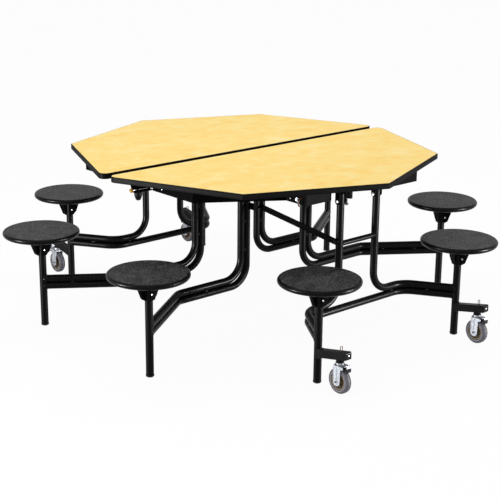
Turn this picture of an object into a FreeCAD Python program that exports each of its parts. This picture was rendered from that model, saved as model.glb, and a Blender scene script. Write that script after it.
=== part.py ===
import FreeCAD, Part
import math
import os
import Sketcher

# A mobile folding cafeteria table: a laminate octagon cut in two along X, eight swivel
# stools on bent steel legs and four braked casters.
# Frame: +Z up, floor at z = 0, origin under the middle of the seam, X along the seam.
# The front half lies at -Y. The back half is the same half turned by 180 degrees about Z.

# Driving dimensions: alias, value in millimetres (or degrees), meaning.
DIMENSIONS = [
    ("table_height", 737, "floor to the top face of the board"),
    ("board_thickness", 24, "laminated board"),
    ("board_apothem", 743.4, "centre of a half's octagon to its flats"),
    ("seam_half_gap", 17, "middle of the seam to the band of one half"),
    ("band_thickness", 3, "edge band all round each half"),
    ("board_corner_radius", 6, "blunt corners of the octagon"),
    ("seam_tip_radius", 25, "sharp tips beside the seam"),
    ("post_diameter", 32, "stool posts"),
    ("tube_diameter", 31.75, "bent beam tubes"),
    ("lower_tube_height", 182, "centre of the lower beam tube"),
    ("tube_pitch", 32, "lower to upper beam tube, centre to centre"),
    ("rise_radius", 90, "centre-line radius where the tubes turn upwards"),
    ("seat_inner_x", 873, "stools beside the seam"),
    ("seat_inner_y", 383, "stools beside the seam"),
    ("seat_outer_x", 415, "stools on the outer frames"),
    ("seat_outer_y", 862, "stools on the outer frames"),
    ("inner_knee_x", 552, "plan bend of the inner legs"),
    ("inner_beam_y", 158, "straight run of the inner legs"),
    ("inner_knee_radius", 60, "plan bend radius of the inner legs"),
    ("inner_upright_x", 203, "upright of an inner leg's upper tube"),
    ("inner_upright_pitch", 32, "upper to lower tube's upright"),
    ("outer_knee_x", 285, "plan bend of the outer frames"),
    ("outer_beam_y", 660, "straight run and uprights of the outer frames"),
    ("outer_knee_radius", 100, "plan bend radius of the outer frames"),
    ("outer_upright_x", 106, "uprights of the outer frames"),
    ("cross_tube_diameter", 22, "tube between the outer uprights"),
    ("cross_tube_height", 465, "tube between the outer uprights"),
    ("seat_height", 434, "floor to the top of a stool"),
    ("seat_diameter", 329, "stool disc"),
    ("seat_thickness", 28, "stool disc at its rim"),
    ("seat_top_round", 9, "rim, upper edge"),
    ("seat_bottom_round", 12, "rim, lower edge"),
    ("seat_hub_diameter", 160, "boss under the stool disc"),
    ("seat_recess_depth", 12, "hollow between boss and rim"),
    ("seat_skirt_width", 16, "rim wall under the disc"),
    ("seat_swivel_gap", 0.3, "disc to bracket"),
    ("spindle_diameter", 20, "swivel spindle of a stool"),
    ("spindle_height", 14, "swivel spindle above its bracket"),
    ("spindle_end_gap", 1, "above the spindle"),
    ("bracket_foot_height", 320, "lower end of a seat bracket's wings"),
    ("bracket_foot_reach", 37, "wing reach above its cut corner"),
    ("bracket_foot_half", 18, "half width of the wings' lower edge"),
    ("bracket_top_reach", 66, "wing reach at the top plate"),
    ("bracket_chamfer", 12, "cut lower corner of a wing"),
    ("bracket_wing_thickness", 5, "wing sheet"),
    ("bracket_plate_thickness", 4, "round plate under a stool"),
    ("fit_clearance", 0.05, "radial clearance of pins, spindles and sleeves"),
    ("glide_height", 9, "foot cap of a stool post"),
    ("glide_diameter", 34, "foot cap of a stool post"),
    ("glide_round", 3, "foot cap's lower edge"),
    ("glide_plug_height", 12, "plug of a foot cap inside its post"),
    ("glide_plug_diameter", 24, "plug of a foot cap inside its post"),
    ("outer_foot_lift", 4, "outer foot caps clear the floor, so the folded table rolls"),
    ("hinge_y", 205, "fold hinges of the halves"),
    ("hinge_drop", 14, "underside of the board to the fold hinges"),
    ("hinge_pin_diameter", 8, "fold hinge pin"),
    ("hinge_lug_radius", 10, "round end of every fold hinge lug"),
    ("yoke_lug_thickness", 8, "lug on the centre yoke"),
    ("top_lug_thickness", 6, "pair of lugs on each half"),
    ("lug_gap", 0.5, "between neighbouring lugs"),
    ("pin_head_thickness", 3, "heads of all pins"),
    ("pin_head_step", 2.5, "head radius beyond the pin"),
    ("yoke_bar_width", 70, "yoke bar over an inner leg's uprights"),
    ("yoke_bar_thickness", 30, "yoke bars"),
    ("yoke_drop", 23, "underside of the board to the yoke"),
    ("yoke_bar_reach", 190, "half length of the yoke's side bars"),
    ("yoke_cross_width", 40, "yoke's cross bars"),
    ("rail_width", 25, "square rails under a half"),
    ("rail_depth", 20, "square rails under a half"),
    ("rail_wall", 2, "square rails under a half"),
    ("rail_x", 245, "rails under a half, centre"),
    ("rail_seam_y", 40, "rail end beside the seam"),
    ("lug_plate_thickness", 3, "plate that carries a pair of lugs"),
    ("lug_plate_reach", 25, "half length of the lug plate along Y"),
    ("apron_depth", 63, "apron sheet below the board"),
    ("apron_sheet", 2, "apron sheet thickness"),
    ("apron_flange", 18, "apron's screw flange under the board"),
    ("apron_seam_y", 53, "side panels' ends beside the seam"),
    ("apron_side_y", 316, "left side panel's outer end"),
    ("apron_step_x", 280, "left end of the front panel"),
    ("apron_step_y", 523, "left diagonal panel's end"),
    ("apron_front_y", 640, "front panel's face"),
    ("apron_right_x", 380, "right end of the front panel"),
    ("apron_right_y", 436, "right side panel's outer end"),
    ("apron_relief_half", 140, "half width of the relief over the uprights"),
    ("apron_relief_depth", 40, "height of the relief over the uprights"),
    ("hanger_drop", 67, "underside of the board to an outer frame's pivot"),
    ("hanger_pin_diameter", 10, "pivot pin of an outer frame"),
    ("hanger_cheek", 3, "cheek of a hanger bracket"),
    ("hanger_cheek_radius", 13, "round end of a cheek"),
    ("hanger_gap", 0.5, "upright to cheek"),
    ("upright_top_rise", 34, "pivot to the top of an upright"),
    ("link_drop", 167, "link pivots below the two main pivots"),
    ("link_x", 129, "plane of a link bar"),
    ("link_thickness", 6, "link bar"),
    ("link_width", 25, "link bar"),
    ("link_gap", 0.3, "link bar to its spacer and head"),
    ("link_pin_diameter", 10, "link pivots"),
    ("link_spacer_diameter", 16, "spacer beside a link bar"),
    ("link_open_clearance", 0.3, "radial clearance at the open link pivot"),
    ("gusset_thickness", 4, "gusset plate of a link bar"),
    ("gusset_height", 30, "gusset plate of a link bar"),
    ("stop_x", 15, "hanging stop block"),
    ("stop_width", 14, "hanging stop block"),
    ("stop_outer_y", 632, "hanging stop block"),
    ("stop_drop", 77, "underside of the board to the stop block's foot"),
    ("stop_inner_y", 572, "hanging stop block"),
    ("stop_screw_y", 606, "stop screw"),
    ("stop_screw_diameter", 8, "stop screw"),
    ("stop_screw_drop", 108, "underside of the board to the stop screw's foot"),
    ("stop_thread_depth", 24, "stop screw inside its block"),
    ("stop_pad_diameter", 16, "stop screw's pad"),
    ("stop_pad_height", 6, "stop screw's pad"),
    ("caster_y", 983, "swivel axis of a caster"),
    ("caster_trail", 3, "swivel axis to axle"),
    ("wheel_diameter", 104, "tyre"),
    ("tyre_width", 27, "tyre"),
    ("tyre_round", 8, "tyre shoulders"),
    ("wheel_rim_radius", 35, "wheel core under the tyre"),
    ("wheel_rim_inner_radius", 29, "inside of the core's rim"),
    ("wheel_rim_width", 22, "wheel core under the tyre"),
    ("wheel_web", 8, "web of the wheel core"),
    ("wheel_hub_radius", 13, "hub of the wheel core"),
    ("wheel_side_gap", 0.3, "hub to fork leg"),
    ("axle_diameter", 8, "caster axle"),
    ("axle_nut_radius", 7, "caster axle's nuts"),
    ("axle_nut_thickness", 4, "caster axle's nuts"),
    ("fork_width", 42, "over both legs of a fork"),
    ("fork_leg", 3, "fork leg sheet"),
    ("fork_plate_bottom", 109, "underside of the fork's bridge"),
    ("fork_plate_top", 116, "top of the fork's bridge"),
    ("fork_leg_top_half", 19, "half width of a leg at the bridge"),
    ("fork_leg_foot_radius", 17.5, "round end of a leg"),
    ("crown_diameter", 34, "fork crown"),
    ("crown_top", 126.6, "fork crown"),
    ("kingpin_diameter", 12, "swivel pin of a fork"),
    ("kingpin_height", 14, "swivel pin above the crown"),
    ("boss_diameter", 28, "caster seat under an arm"),
    ("boss_gap", 0.3, "caster seat to crown"),
    ("arm_width", 30, "caster arm"),
    ("arm_height", 32, "caster arm"),
    ("arm_rise", 12, "slope of a caster arm in degrees"),
    ("arm_centre_height", 155, "arm centre above the swivel axis' foot"),
    ("arm_end_y", 1028, "outer end of a caster arm"),
    ("arm_end_round", 6, "corners of the arm's end"),
    ("ring_y", 988, "tie ring on an arm"),
    ("ring_wire", 3, "tie ring on an arm"),
    ("ring_width", 14, "tie ring on an arm, over the wire"),
    ("ring_rise", 22, "tie ring above the arm"),
    ("ring_bend", 5, "tie ring's bends"),
    ("pedal_pivot_out", 30, "pedal pivot outwards of the swivel axis"),
    ("pedal_pivot_height", 112, "pedal pivot"),
    ("pedal_pin_diameter", 5, "pedal pivot"),
    ("pedal_hub_radius", 5.5, "pedal hub"),
    ("pedal_reach", 50, "pedal tip outwards of the swivel axis"),
    ("pedal_tip_height", 124, "top of the pedal's tip"),
    ("pedal_shoe_height", 95.5, "lower edge of the brake shoe"),
    ("pedal_shoe_inset", 4, "lower edge of the brake shoe, back from the pedal's tip"),
    ("pedal_shoe_width", 22, "brake shoe"),
    ("latch_tip_inset", 100.6, "tip of a half to the latch bracket's flange"),
    ("latch_length", 104, "flange of the latch bracket"),
    ("latch_slant", 14, "lower edge of the latch bracket, shorter at the tip"),
    ("latch_plate", 3, "latch bracket sheet"),
    ("latch_plate_y", 36, "face of the latch bracket towards its rod"),
    ("latch_flange", 22, "flange and shelf of the latch bracket"),
    ("latch_y", 46, "axis of the latch rod"),
    ("latch_drop", 48, "underside of the board to the latch rod"),
    ("latch_rod_diameter", 6, "latch rod"),
    ("latch_ball_inset", 2, "flange's end to the middle of the ball knob"),
    ("latch_ball_diameter", 18, "ball knob"),
    ("latch_ear_radius", 8, "ears that guide the rod"),
    ("latch_ear_inset", 15, "ears from both ends of the shelf"),
    ("latch_shelf_drop", 8, "rod to the shelf"),
    ("latch_hook_reach", 25, "bent end of the rod beyond the bracket"),
    ("latch_hook_drop", 16, "bent end of the rod"),
    ("latch_apron_gap", 2, "latch bracket to the apron's side"),
    ("cup_inset", 22, "shelf's outer end to the bumper cup"),
    ("cup_diameter", 34, "bumper cup at the shelf"),
    ("cup_height", 34, "bumper cup"),
    ("cup_collar", 12, "straight part of the bumper cup"),
    ("cup_foot_diameter", 22, "bumper cup's lower end"),
    ("cup_foot_round", 4, "bumper cup's lower edge"),
    ("cup_hollow", 10, "depth of the screw recess in the bumper cup"),
    ("cup_hollow_diameter", 11, "screw recess in the bumper cup"),
    ("cup_stem_diameter", 8, "bumper cup's stem"),
]

document = FreeCAD.newDocument("folding_stool_table")
sheet = document.addObject("Spreadsheet::Sheet", "D")
for row, (alias, amount, meaning) in enumerate(DIMENSIONS, start=1):
    sheet.set(f"A{row}", alias)
    sheet.set(f"B{row}", str(amount))
    sheet.set(f"C{row}", meaning)
    sheet.setAlias(f"B{row}", alias)
document.recompute()

NODES = []
X_AXIS = FreeCAD.Vector(1, 0, 0)
Y_AXIS = FreeCAD.Vector(0, 1, 0)
Z_AXIS = FreeCAD.Vector(0, 0, 1)

# Heights and places that follow from the driving dimensions, as expressions.
BOARD_BOTTOM = "(D.table_height - D.board_thickness)"
UPPER_TUBE = "(D.lower_tube_height + D.tube_pitch)"
BRACKET_TOP = "(D.seat_height - D.seat_thickness - D.seat_swivel_gap)"
POST_TOP = f"({BRACKET_TOP} - D.bracket_plate_thickness)"
YOKE_TOP = f"({BOARD_BOTTOM} - D.yoke_drop)"
YOKE_BOTTOM = f"({YOKE_TOP} - D.yoke_bar_thickness)"
YOKE_BAR_X = "(D.inner_upright_x - D.inner_upright_pitch / 2)"
LINK_INNER_FACE = "(D.link_x - D.link_thickness / 2 - D.link_gap)"
LINK_OUTER_FACE = "(D.link_x + D.link_thickness / 2 + D.link_gap)"
LUG_PLATE_BOTTOM = f"({BOARD_BOTTOM} - D.lug_plate_thickness)"
BOSS_BOTTOM = "(D.crown_top + D.boss_gap)"
HINGE_HEIGHT = f"({BOARD_BOTTOM} - D.hinge_drop)"
HANGER_HEIGHT = f"({BOARD_BOTTOM} - D.hanger_drop)"
APRON_BOTTOM = f"({BOARD_BOTTOM} - D.apron_depth)"
STOP_BOTTOM = f"({BOARD_BOTTOM} - D.stop_drop)"
STOP_SCREW_BOTTOM = f"({BOARD_BOTTOM} - D.stop_screw_drop)"
LATCH_HEIGHT = f"({BOARD_BOTTOM} - D.latch_drop)"
LATCH_SHELF = f"({LATCH_HEIGHT} - D.latch_shelf_drop)"
LATCH_TOP_X = "(D.board_apothem / cos(22.5) - D.latch_tip_inset)"
LATCH_OUTER_X = f"({LATCH_TOP_X} - D.latch_slant)"
LATCH_INNER_X = f"({LATCH_TOP_X} - D.latch_length)"
LATCH_BALL_X = f"({LATCH_TOP_X} - D.latch_ball_inset)"
LATCH_HOOK_X = f"({LATCH_INNER_X} - D.latch_hook_reach)"
APRON_SIDE_X = f"({LATCH_INNER_X} - D.latch_apron_gap)"


def value(expression):
    """The number that an expression on the sheet stands for now."""
    return float(sheet.evalExpression(str(expression)))


def point(x, y, z):
    """A vector from three expressions."""
    return FreeCAD.Vector(value(x), value(y), value(z))


def bind(item, **sizes):
    """Tie properties of an object to expressions on the sheet."""
    for name, expression in sizes.items():
        item.setExpression(name, str(expression))


def place(item, x=None, y=None, z=None, turn=0, axis=Z_AXIS):
    """Turn an object, then tie its position to expressions."""
    item.Placement = FreeCAD.Placement(FreeCAD.Vector(0, 0, 0), FreeCAD.Rotation(axis, turn))
    for name, expression in (("x", x), ("y", y), ("z", z)):
        if expression is not None:
            item.setExpression(f"Placement.Base.{name}", str(expression))


def box(x0, x1, y0, y1, z0, z1):
    """A block between two corners given as expressions, lower corner first."""
    item = document.addObject("Part::Box", "block")
    bind(item, Length=f"({x1}) - ({x0})", Width=f"({y1}) - ({y0})", Height=f"({z1}) - ({z0})")
    place(item, x0, y0, z0)
    return item


def rod(direction, diameter, length, x, y, z):
    """A round bar that starts at a point and runs along +X, +Y or +Z."""
    item = document.addObject("Part::Cylinder", "bar")
    bind(item, Radius=f"({diameter}) / 2", Height=length)
    turns = {"x": (90, Y_AXIS), "y": (-90, X_AXIS), "z": (0, Z_AXIS)}
    angle, axis = turns[direction]
    place(item, x, y, z, angle, axis)
    return item


def fuse(label, pieces):
    item = document.addObject("Part::MultiFuse", label)
    item.Shapes = pieces
    item.Refine = True
    return item


def cut(label, base, tools):
    item = document.addObject("Part::Cut", label)
    item.Base = base
    item.Tool = tools[0] if len(tools) == 1 else fuse(label + "_cutters", tools)
    item.Refine = True
    return item


def group(label, pieces):
    """Identical separate solids that share one sub-part."""
    item = document.addObject("Part::Compound", label)
    item.Links = pieces
    return item


def keep(item, label, half_turn=False):
    """Name a finished sub-part; the back half's are turned about the table's middle."""
    item.Label = label
    if half_turn:
        item.Placement = FreeCAD.Placement(FreeCAD.Vector(0, 0, 0), FreeCAD.Rotation(Z_AXIS, 180))
    NODES.append(item)
    return item


def new_body(name):
    return document.addObject("PartDesign::Body", name)


def sketch_on(body, role, lift="0"):
    """An empty sketch on one of the body's own origin planes."""
    plane = [item for item in body.Origin.OriginFeatures if item.Role == role][0]
    sketch = body.newObject("Sketcher::SketchObject", "profile")
    sketch.AttachmentSupport = (plane, "")
    sketch.MapMode = "FlatFace"
    sketch.setExpression("AttachmentOffset.Base.z", lift)
    return sketch


def outline(sketch, corners):
    """A closed outline through corners given as pairs of expressions."""
    first = sketch.GeometryCount
    places = [FreeCAD.Vector(value(x), value(y), 0) for x, y in corners]
    for index, start in enumerate(places):
        sketch.addGeometry(Part.LineSegment(start, places[(index + 1) % len(places)]))
    for index, (x, y) in enumerate(corners):
        line = first + index
        following = first + (index + 1) % len(corners)
        sketch.addConstraint(Sketcher.Constraint("Coincident", line, 2, following, 1))
        for kind, expression in (("DistanceX", x), ("DistanceY", y)):
            number = sketch.addConstraint(
                Sketcher.Constraint(kind, -1, 1, line, 1, value(expression)))
            sketch.setExpression(f"Constraints[{number}]", str(expression))


def ring_outline(sketch, x, y, radius):
    """A circle whose centre and radius are expressions."""
    centre = FreeCAD.Vector(value(x), value(y), 0)
    line = sketch.addGeometry(Part.Circle(centre, Z_AXIS, value(radius)))
    number = sketch.addConstraint(Sketcher.Constraint("Radius", line, value(radius)))
    sketch.setExpression(f"Constraints[{number}]", str(radius))
    for kind, expression in (("DistanceX", x), ("DistanceY", y)):
        number = sketch.addConstraint(Sketcher.Constraint(kind, -1, 1, line, 3, value(expression)))
        sketch.setExpression(f"Constraints[{number}]", str(expression))


def pad(body, sketch, length, both_ways=False):
    feature = body.newObject("PartDesign::Pad", "pad")
    feature.Profile = sketch
    bind(feature, Length=length)
    feature.Midplane = both_ways
    document.recompute()
    return feature


def pocket(body, sketch, depth, both_ways=False):
    """Cut a profile out of a body on whichever side of its plane the solid lies."""
    before = body.Shape.Volume
    feature = body.newObject("PartDesign::Pocket", "pocket")
    feature.Profile = sketch
    bind(feature, Length=depth)
    feature.Midplane = both_ways
    document.recompute()
    if body.Shape.Volume > before - 1:
        feature.Reversed = True
        document.recompute()
    if body.Shape.Volume > before - 1:
        raise RuntimeError(f"{body.Name}: a pocket cuts nothing")
    return feature


def revolve(body, sketch, axis_name):
    feature = body.newObject("PartDesign::Revolution", "turned")
    feature.Profile = sketch
    feature.ReferenceAxis = (sketch, [axis_name])
    feature.Angle = 360
    document.recompute()
    return feature


def fillet(body, base, chosen, radius):
    """Round the edges of a feature that the test picks out."""
    names = [f"Edge{number}" for number, edge in enumerate(base.Shape.Edges, start=1)
             if chosen(edge)]
    if not names:
        raise RuntimeError(f"{body.Name}: no edge to round")
    feature = body.newObject("PartDesign::Fillet", "round")
    feature.Base = (base, names)
    bind(feature, Radius=radius)
    document.recompute()
    return feature


def is_upright(edge):
    ends = [vertex.Point for vertex in edge.Vertexes]
    if len(ends) != 2:
        return False
    return abs(ends[0].x - ends[1].x) < 1e-6 and abs(ends[0].y - ends[1].y) < 1e-6


def is_circle(edge, radius, along=None, level=None):
    """Whether an edge is a full circle of a radius, at a level along an axis."""
    curve = edge.Curve
    if not isinstance(curve, Part.Circle) or abs(curve.Radius - radius) > 1e-4:
        return False
    return along is None or abs(curve.Center.dot(along) - level) < 1e-4


def rounded_path(stations):
    """A wire of straight runs and tangent arcs: stations are (point, bend radius)."""
    edges = []
    start = stations[0][0]
    for index in range(1, len(stations) - 1):
        corner, radius = stations[index]
        back = (stations[index - 1][0] - corner).normalize()
        ahead = (stations[index + 1][0] - corner).normalize()
        half_angle = back.getAngle(ahead) / 2
        setback = radius / math.tan(half_angle)
        enter = corner + back * setback
        leave = corner + ahead * setback
        inward = (back + ahead).normalize()
        centre = corner + inward * (radius / math.sin(half_angle))
        middle = centre - inward * radius
        edges.append(Part.LineSegment(start, enter).toShape())
        edges.append(Part.Arc(enter, middle, leave).toShape())
        start = leave
    edges.append(Part.LineSegment(start, stations[-1][0]).toShape())
    return Part.Wire(edges)


def bent_tube(stations, diameter):
    """A tube swept along straight runs and tangent bends."""
    path = document.addObject("Part::Feature", "tube_path")
    path.Shape = rounded_path(stations)
    section = document.addObject("Part::Circle", "tube_section")
    bind(section, Radius=f"{diameter} / 2")
    direction = stations[1][0] - stations[0][0]
    section.Placement = FreeCAD.Placement(stations[0][0], FreeCAD.Rotation(Z_AXIS, direction))
    tube = document.addObject("Part::Sweep", "tube")
    tube.Sections = [section]
    tube.Spine = (path, [f"Edge{number}" for number in range(1, len(path.Shape.Edges) + 1)])
    tube.Solid = True
    tube.Frenet = False
    return tube


# ---------------------------------------------------------------- table top

def board_corners(offset):
    """Half an octagon moved out from the seam, grown by an offset on every side."""
    flat = f"(D.board_apothem + {offset})"
    corner = f"({flat} / cos(22.5))"
    centre = "(-(D.seam_half_gap + D.band_thickness))"
    seam = f"({centre} + {offset})"
    tip = f"({corner} + {offset} * tan(22.5))"
    slant = f"({corner} * cos(45))"
    return [(f"-{tip}", seam), (f"-{slant}", f"{centre} - {slant}"), ("0", f"{centre} - {corner}"),
            (slant, f"{centre} - {slant}"), (tip, seam)]


def board_solid(name, offset):
    """The board, or the board grown by the edge band."""
    body = new_body(name)
    sketch = sketch_on(body, "XY_Plane", BOARD_BOTTOM)
    outline(sketch, board_corners(offset))
    plate = pad(body, sketch, "D.board_thickness")
    reach = value("D.board_apothem")
    tips = fillet(body, plate, lambda edge: is_upright(edge) and abs(edge.CenterOfMass.x) > reach,
                  f"D.seam_tip_radius + {offset}")
    fillet(body, tips, lambda edge: is_upright(edge) and abs(edge.CenterOfMass.x) < reach,
           f"D.board_corner_radius + {offset}")
    return body


def table_top(side, half_turn):
    board = board_solid("board", "0")
    keep(board, f"table_top_{side}", half_turn)
    band = cut("band", board_solid("grown_board", "D.band_thickness"),
               [board_solid("board_core", "0")])
    keep(band, f"edge_band_{side}", half_turn)


# ---------------------------------------------------------------- apron and rails

def apron_path():
    """Outer face of the apron in plan, from the seam on the left round to the right."""
    corners = [(f"-{APRON_SIDE_X}", "-D.apron_seam_y"), (f"-{APRON_SIDE_X}", "-D.apron_side_y"),
               ("-D.apron_step_x", "-D.apron_step_y"), ("-D.apron_step_x", "-D.apron_front_y"),
               ("D.apron_right_x", "-D.apron_front_y"), (APRON_SIDE_X, "-D.apron_right_y"),
               (APRON_SIDE_X, "-D.apron_seam_y")]
    return Part.makePolygon([point(x, y, "0") for x, y in corners])


def apron_strip(name, width, bottom, height):
    """A strip of the apron's plan, a given width inwards of its outer face."""
    path = apron_path()
    face = path.makeOffset2D(-value(width), 2, True, True)
    if face.BoundBox.YMin < path.BoundBox.YMin - 1e-6:
        face = path.makeOffset2D(value(width), 2, True, True)
    face.translate(point("0", "0", bottom))
    strip = document.addObject("Part::Feature", name)
    strip.Shape = face.extrude(point("0", "0", height))
    return strip


def hanger_bracket(sign):
    """Two cheeks with a round end under a cross plate on the apron's face."""
    inner = "(D.tube_diameter / 2 + D.hanger_gap)"
    middle = f"({sign} * D.outer_upright_x)"
    plate_bottom = f"({APRON_BOTTOM} + D.apron_relief_depth)"
    cheek_inner_y = "(-D.outer_beam_y + D.hanger_cheek_radius)"
    pieces = [box(f"{middle} - {inner} - D.hanger_cheek", f"{middle} + {inner} + D.hanger_cheek",
                  "-D.apron_front_y - D.hanger_cheek", "-D.apron_front_y", plate_bottom, BOARD_BOTTOM)]
    for start in (f"{middle} - {inner} - D.hanger_cheek", f"{middle} + {inner}"):
        end = f"{start} + D.hanger_cheek"
        pieces.append(box(start, end, "-D.outer_beam_y - D.hanger_cheek_radius", cheek_inner_y,
                          HANGER_HEIGHT, BOARD_BOTTOM))
        pieces.append(box(start, end, cheek_inner_y, "-D.apron_front_y", plate_bottom, BOARD_BOTTOM))
        pieces.append(rod("x", "D.hanger_cheek_radius * 2", "D.hanger_cheek",
                          start, "-D.outer_beam_y", HANGER_HEIGHT))
    return pieces


def apron(side, half_turn):
    """Formed sheet apron with a screw flange, relieved over the uprights of the outer frame."""
    wall = apron_strip("apron_wall", "D.apron_sheet", APRON_BOTTOM, "D.apron_depth")
    flange = apron_strip("apron_flange", "D.apron_flange", f"{BOARD_BOTTOM} - D.apron_sheet",
                         "D.apron_sheet")
    relief = box("-D.apron_relief_half", "D.apron_relief_half", "-D.apron_front_y - D.apron_sheet",
                 "-D.apron_front_y + 2 * D.apron_sheet", APRON_BOTTOM,
                 f"{APRON_BOTTOM} + D.apron_relief_depth")
    sheet_metal = cut("apron_sheet", fuse("apron_blank", [wall, flange]), [relief])
    blank = fuse("apron_welded", [sheet_metal] + hanger_bracket(-1) + hanger_bracket(1))
    bore = rod("x", "D.hanger_pin_diameter + 2 * D.fit_clearance", "4 * D.outer_upright_x",
               "-2 * D.outer_upright_x", "-D.outer_beam_y", HANGER_HEIGHT)
    keep(cut("apron", blank, [bore]), f"apron_{side}", half_turn)


def square_rail(x0, x1, y0, y1, along):
    """A square tube under the board, hollow along X or Y."""
    top = BOARD_BOTTOM
    bottom = f"({BOARD_BOTTOM} - D.rail_depth)"
    wall = "D.rail_wall"
    outer = box(x0, x1, y0, y1, bottom, top)
    if along == "y":
        hollow = box(f"{x0} + {wall}", f"{x1} - {wall}", f"{y0} - 1", f"{y1} + 1",
                     f"{bottom} + {wall}", f"{top} - {wall}")
    else:
        hollow = box(x0, x1, f"{y0} + {wall}", f"{y1} - {wall}",
                     f"{bottom} + {wall}", f"{top} - {wall}")
    return cut("rail", outer, [hollow])


def top_frame(side, half_turn):
    """Rails under the board that carry the fold hinge lugs and the hanging stop."""
    half = "(D.rail_width / 2)"
    front = "(-D.apron_front_y + D.apron_flange)"
    pieces = []
    for sign in (-1, 1):
        middle = f"({sign} * D.rail_x)"
        pieces.append(square_rail(f"{middle} - {half}", f"{middle} + {half}", front,
                                  "-D.rail_seam_y", "y"))
        lug_reach = "(D.yoke_lug_thickness / 2 + D.lug_gap + D.top_lug_thickness)"
        near = f"({sign} * ({YOKE_BAR_X} - {lug_reach}))"
        far = f"({middle} - {sign} * {half})"
        low, high = (near, far) if sign > 0 else (far, near)
        pieces.append(box(low, high, "-D.hinge_y - D.lug_plate_reach",
                          "-D.hinge_y + D.lug_plate_reach", LUG_PLATE_BOTTOM, BOARD_BOTTOM))
        bar = f"({sign} * {YOKE_BAR_X})"
        inner_face = f"({bar} - {lug_reach})"
        outer_face = f"({bar} + D.yoke_lug_thickness / 2 + D.lug_gap)"
        for start in (inner_face, outer_face):
            pieces.append(box(start, f"{start} + D.top_lug_thickness",
                              "-D.hinge_y - D.hinge_lug_radius", "-D.hinge_y + D.hinge_lug_radius",
                              HINGE_HEIGHT, BOARD_BOTTOM))
            pieces.append(rod("x", "2 * D.hinge_lug_radius", "D.top_lug_thickness",
                              start, "-D.hinge_y", HINGE_HEIGHT))
    inner = f"(D.rail_x - {half})"
    for y0 in (front, "(-D.rail_seam_y - D.rail_width)"):
        pieces.append(square_rail(f"-{inner}", inner, y0, f"{y0} + D.rail_width", "x"))
    pieces.append(box("-D.stop_x - D.stop_width / 2", "-D.stop_x + D.stop_width / 2",
                      "-D.stop_outer_y", "-D.stop_inner_y", STOP_BOTTOM,
                      f"{BOARD_BOTTOM} - D.rail_depth"))
    bore = rod("x", "D.hinge_pin_diameter + 2 * D.fit_clearance", f"4 * {YOKE_BAR_X}",
               f"-2 * {YOKE_BAR_X}", "-D.hinge_y", HINGE_HEIGHT)
    screw_hole = rod("z", "D.stop_screw_diameter + 2 * D.fit_clearance", "D.stop_thread_depth",
                     "-D.stop_x", "-D.stop_screw_y", STOP_BOTTOM)
    keep(cut("top_frame", fuse("top_frame_blank", pieces), [bore, screw_hole]),
         f"top_frame_{side}", half_turn)


def headed_pin(diameter, start, length, y, z, head_side):
    """A pin along X from its plain end to its head."""
    shank = rod("x", diameter, length, start, y, z)
    head_start = f"{start} + {length}" if head_side > 0 else f"{start} - D.pin_head_thickness"
    head = rod("x", f"{diameter} + 2 * D.pin_head_step", "D.pin_head_thickness", head_start, y, z)
    return fuse("pin", [shank, head])


def hanger_pins(side, half_turn):
    """Pivot pins of one outer frame, with their heads towards the middle."""
    reach = "(D.tube_diameter / 2 + D.hanger_gap + D.hanger_cheek)"
    pins = [headed_pin("D.hanger_pin_diameter", f"({sign} * D.outer_upright_x - {reach})",
                       f"2 * {reach}", "-D.outer_beam_y", HANGER_HEIGHT, -sign)
            for sign in (-1, 1)]
    keep(group("hanger_pins", pins), f"hanger_pins_{side}", half_turn)


def stop_screw(side, half_turn):
    """Threaded stop with a round pad, through the hanging plate."""
    stem = rod("z", "D.stop_screw_diameter", "D.stop_thread_depth + D.stop_screw_drop - D.stop_drop",
               "-D.stop_x", "-D.stop_screw_y", STOP_SCREW_BOTTOM)
    foot = rod("z", "D.stop_pad_diameter", "D.stop_pad_height", "-D.stop_x", "-D.stop_screw_y",
               STOP_SCREW_BOTTOM)
    keep(fuse("stop_screw", [stem, foot]), f"stop_screw_{side}", half_turn)


# ---------------------------------------------------------------- latch

def latch_bracket(side, half_turn):
    """Channel under the seam tip: flange, slanted plate, shelf and two ears for the rod."""
    face = "(-D.latch_plate_y)"
    body = new_body("latch_plate")
    sketch = sketch_on(body, "XZ_Plane", "D.latch_plate_y - D.latch_plate")
    shelf_bottom = f"({LATCH_SHELF} - D.latch_plate)"
    outline(sketch, [(f"-{LATCH_TOP_X}", BOARD_BOTTOM), (f"-{LATCH_OUTER_X}", shelf_bottom),
                     (f"-{LATCH_INNER_X}", shelf_bottom), (f"-{LATCH_INNER_X}", BOARD_BOTTOM)])
    pad(body, sketch, "D.latch_plate")
    outer_y = f"({face} - D.latch_flange)"
    pieces = [body,
              box(f"-{LATCH_TOP_X}", f"-{LATCH_INNER_X}", outer_y, face,
                  f"{BOARD_BOTTOM} - D.latch_plate", BOARD_BOTTOM),
              box(f"-{LATCH_OUTER_X}", f"-{LATCH_INNER_X}", outer_y, face, shelf_bottom, LATCH_SHELF)]
    for start in (f"(-{LATCH_OUTER_X} + D.latch_ear_inset)",
                  f"(-{LATCH_INNER_X} - D.latch_ear_inset)"):
        pieces.append(box(start, f"{start} + D.latch_plate", "-D.latch_y - D.latch_ear_radius", face,
                          LATCH_SHELF, LATCH_HEIGHT))
        pieces.append(rod("x", "2 * D.latch_ear_radius", "D.latch_plate", start, "-D.latch_y",
                          LATCH_HEIGHT))
    rod_hole = rod("x", "D.latch_rod_diameter + 2 * D.fit_clearance", "D.latch_length",
                   f"-{LATCH_BALL_X}", "-D.latch_y", LATCH_HEIGHT)
    stem_hole = rod("z", "D.cup_stem_diameter + 2 * D.fit_clearance", "D.latch_plate",
                    f"-{LATCH_OUTER_X} + D.cup_inset", "-D.latch_y", shelf_bottom)
    keep(cut("latch_bracket", fuse("latch_blank", pieces), [rod_hole, stem_hole]),
         f"latch_bracket_{side}", half_turn)


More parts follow.
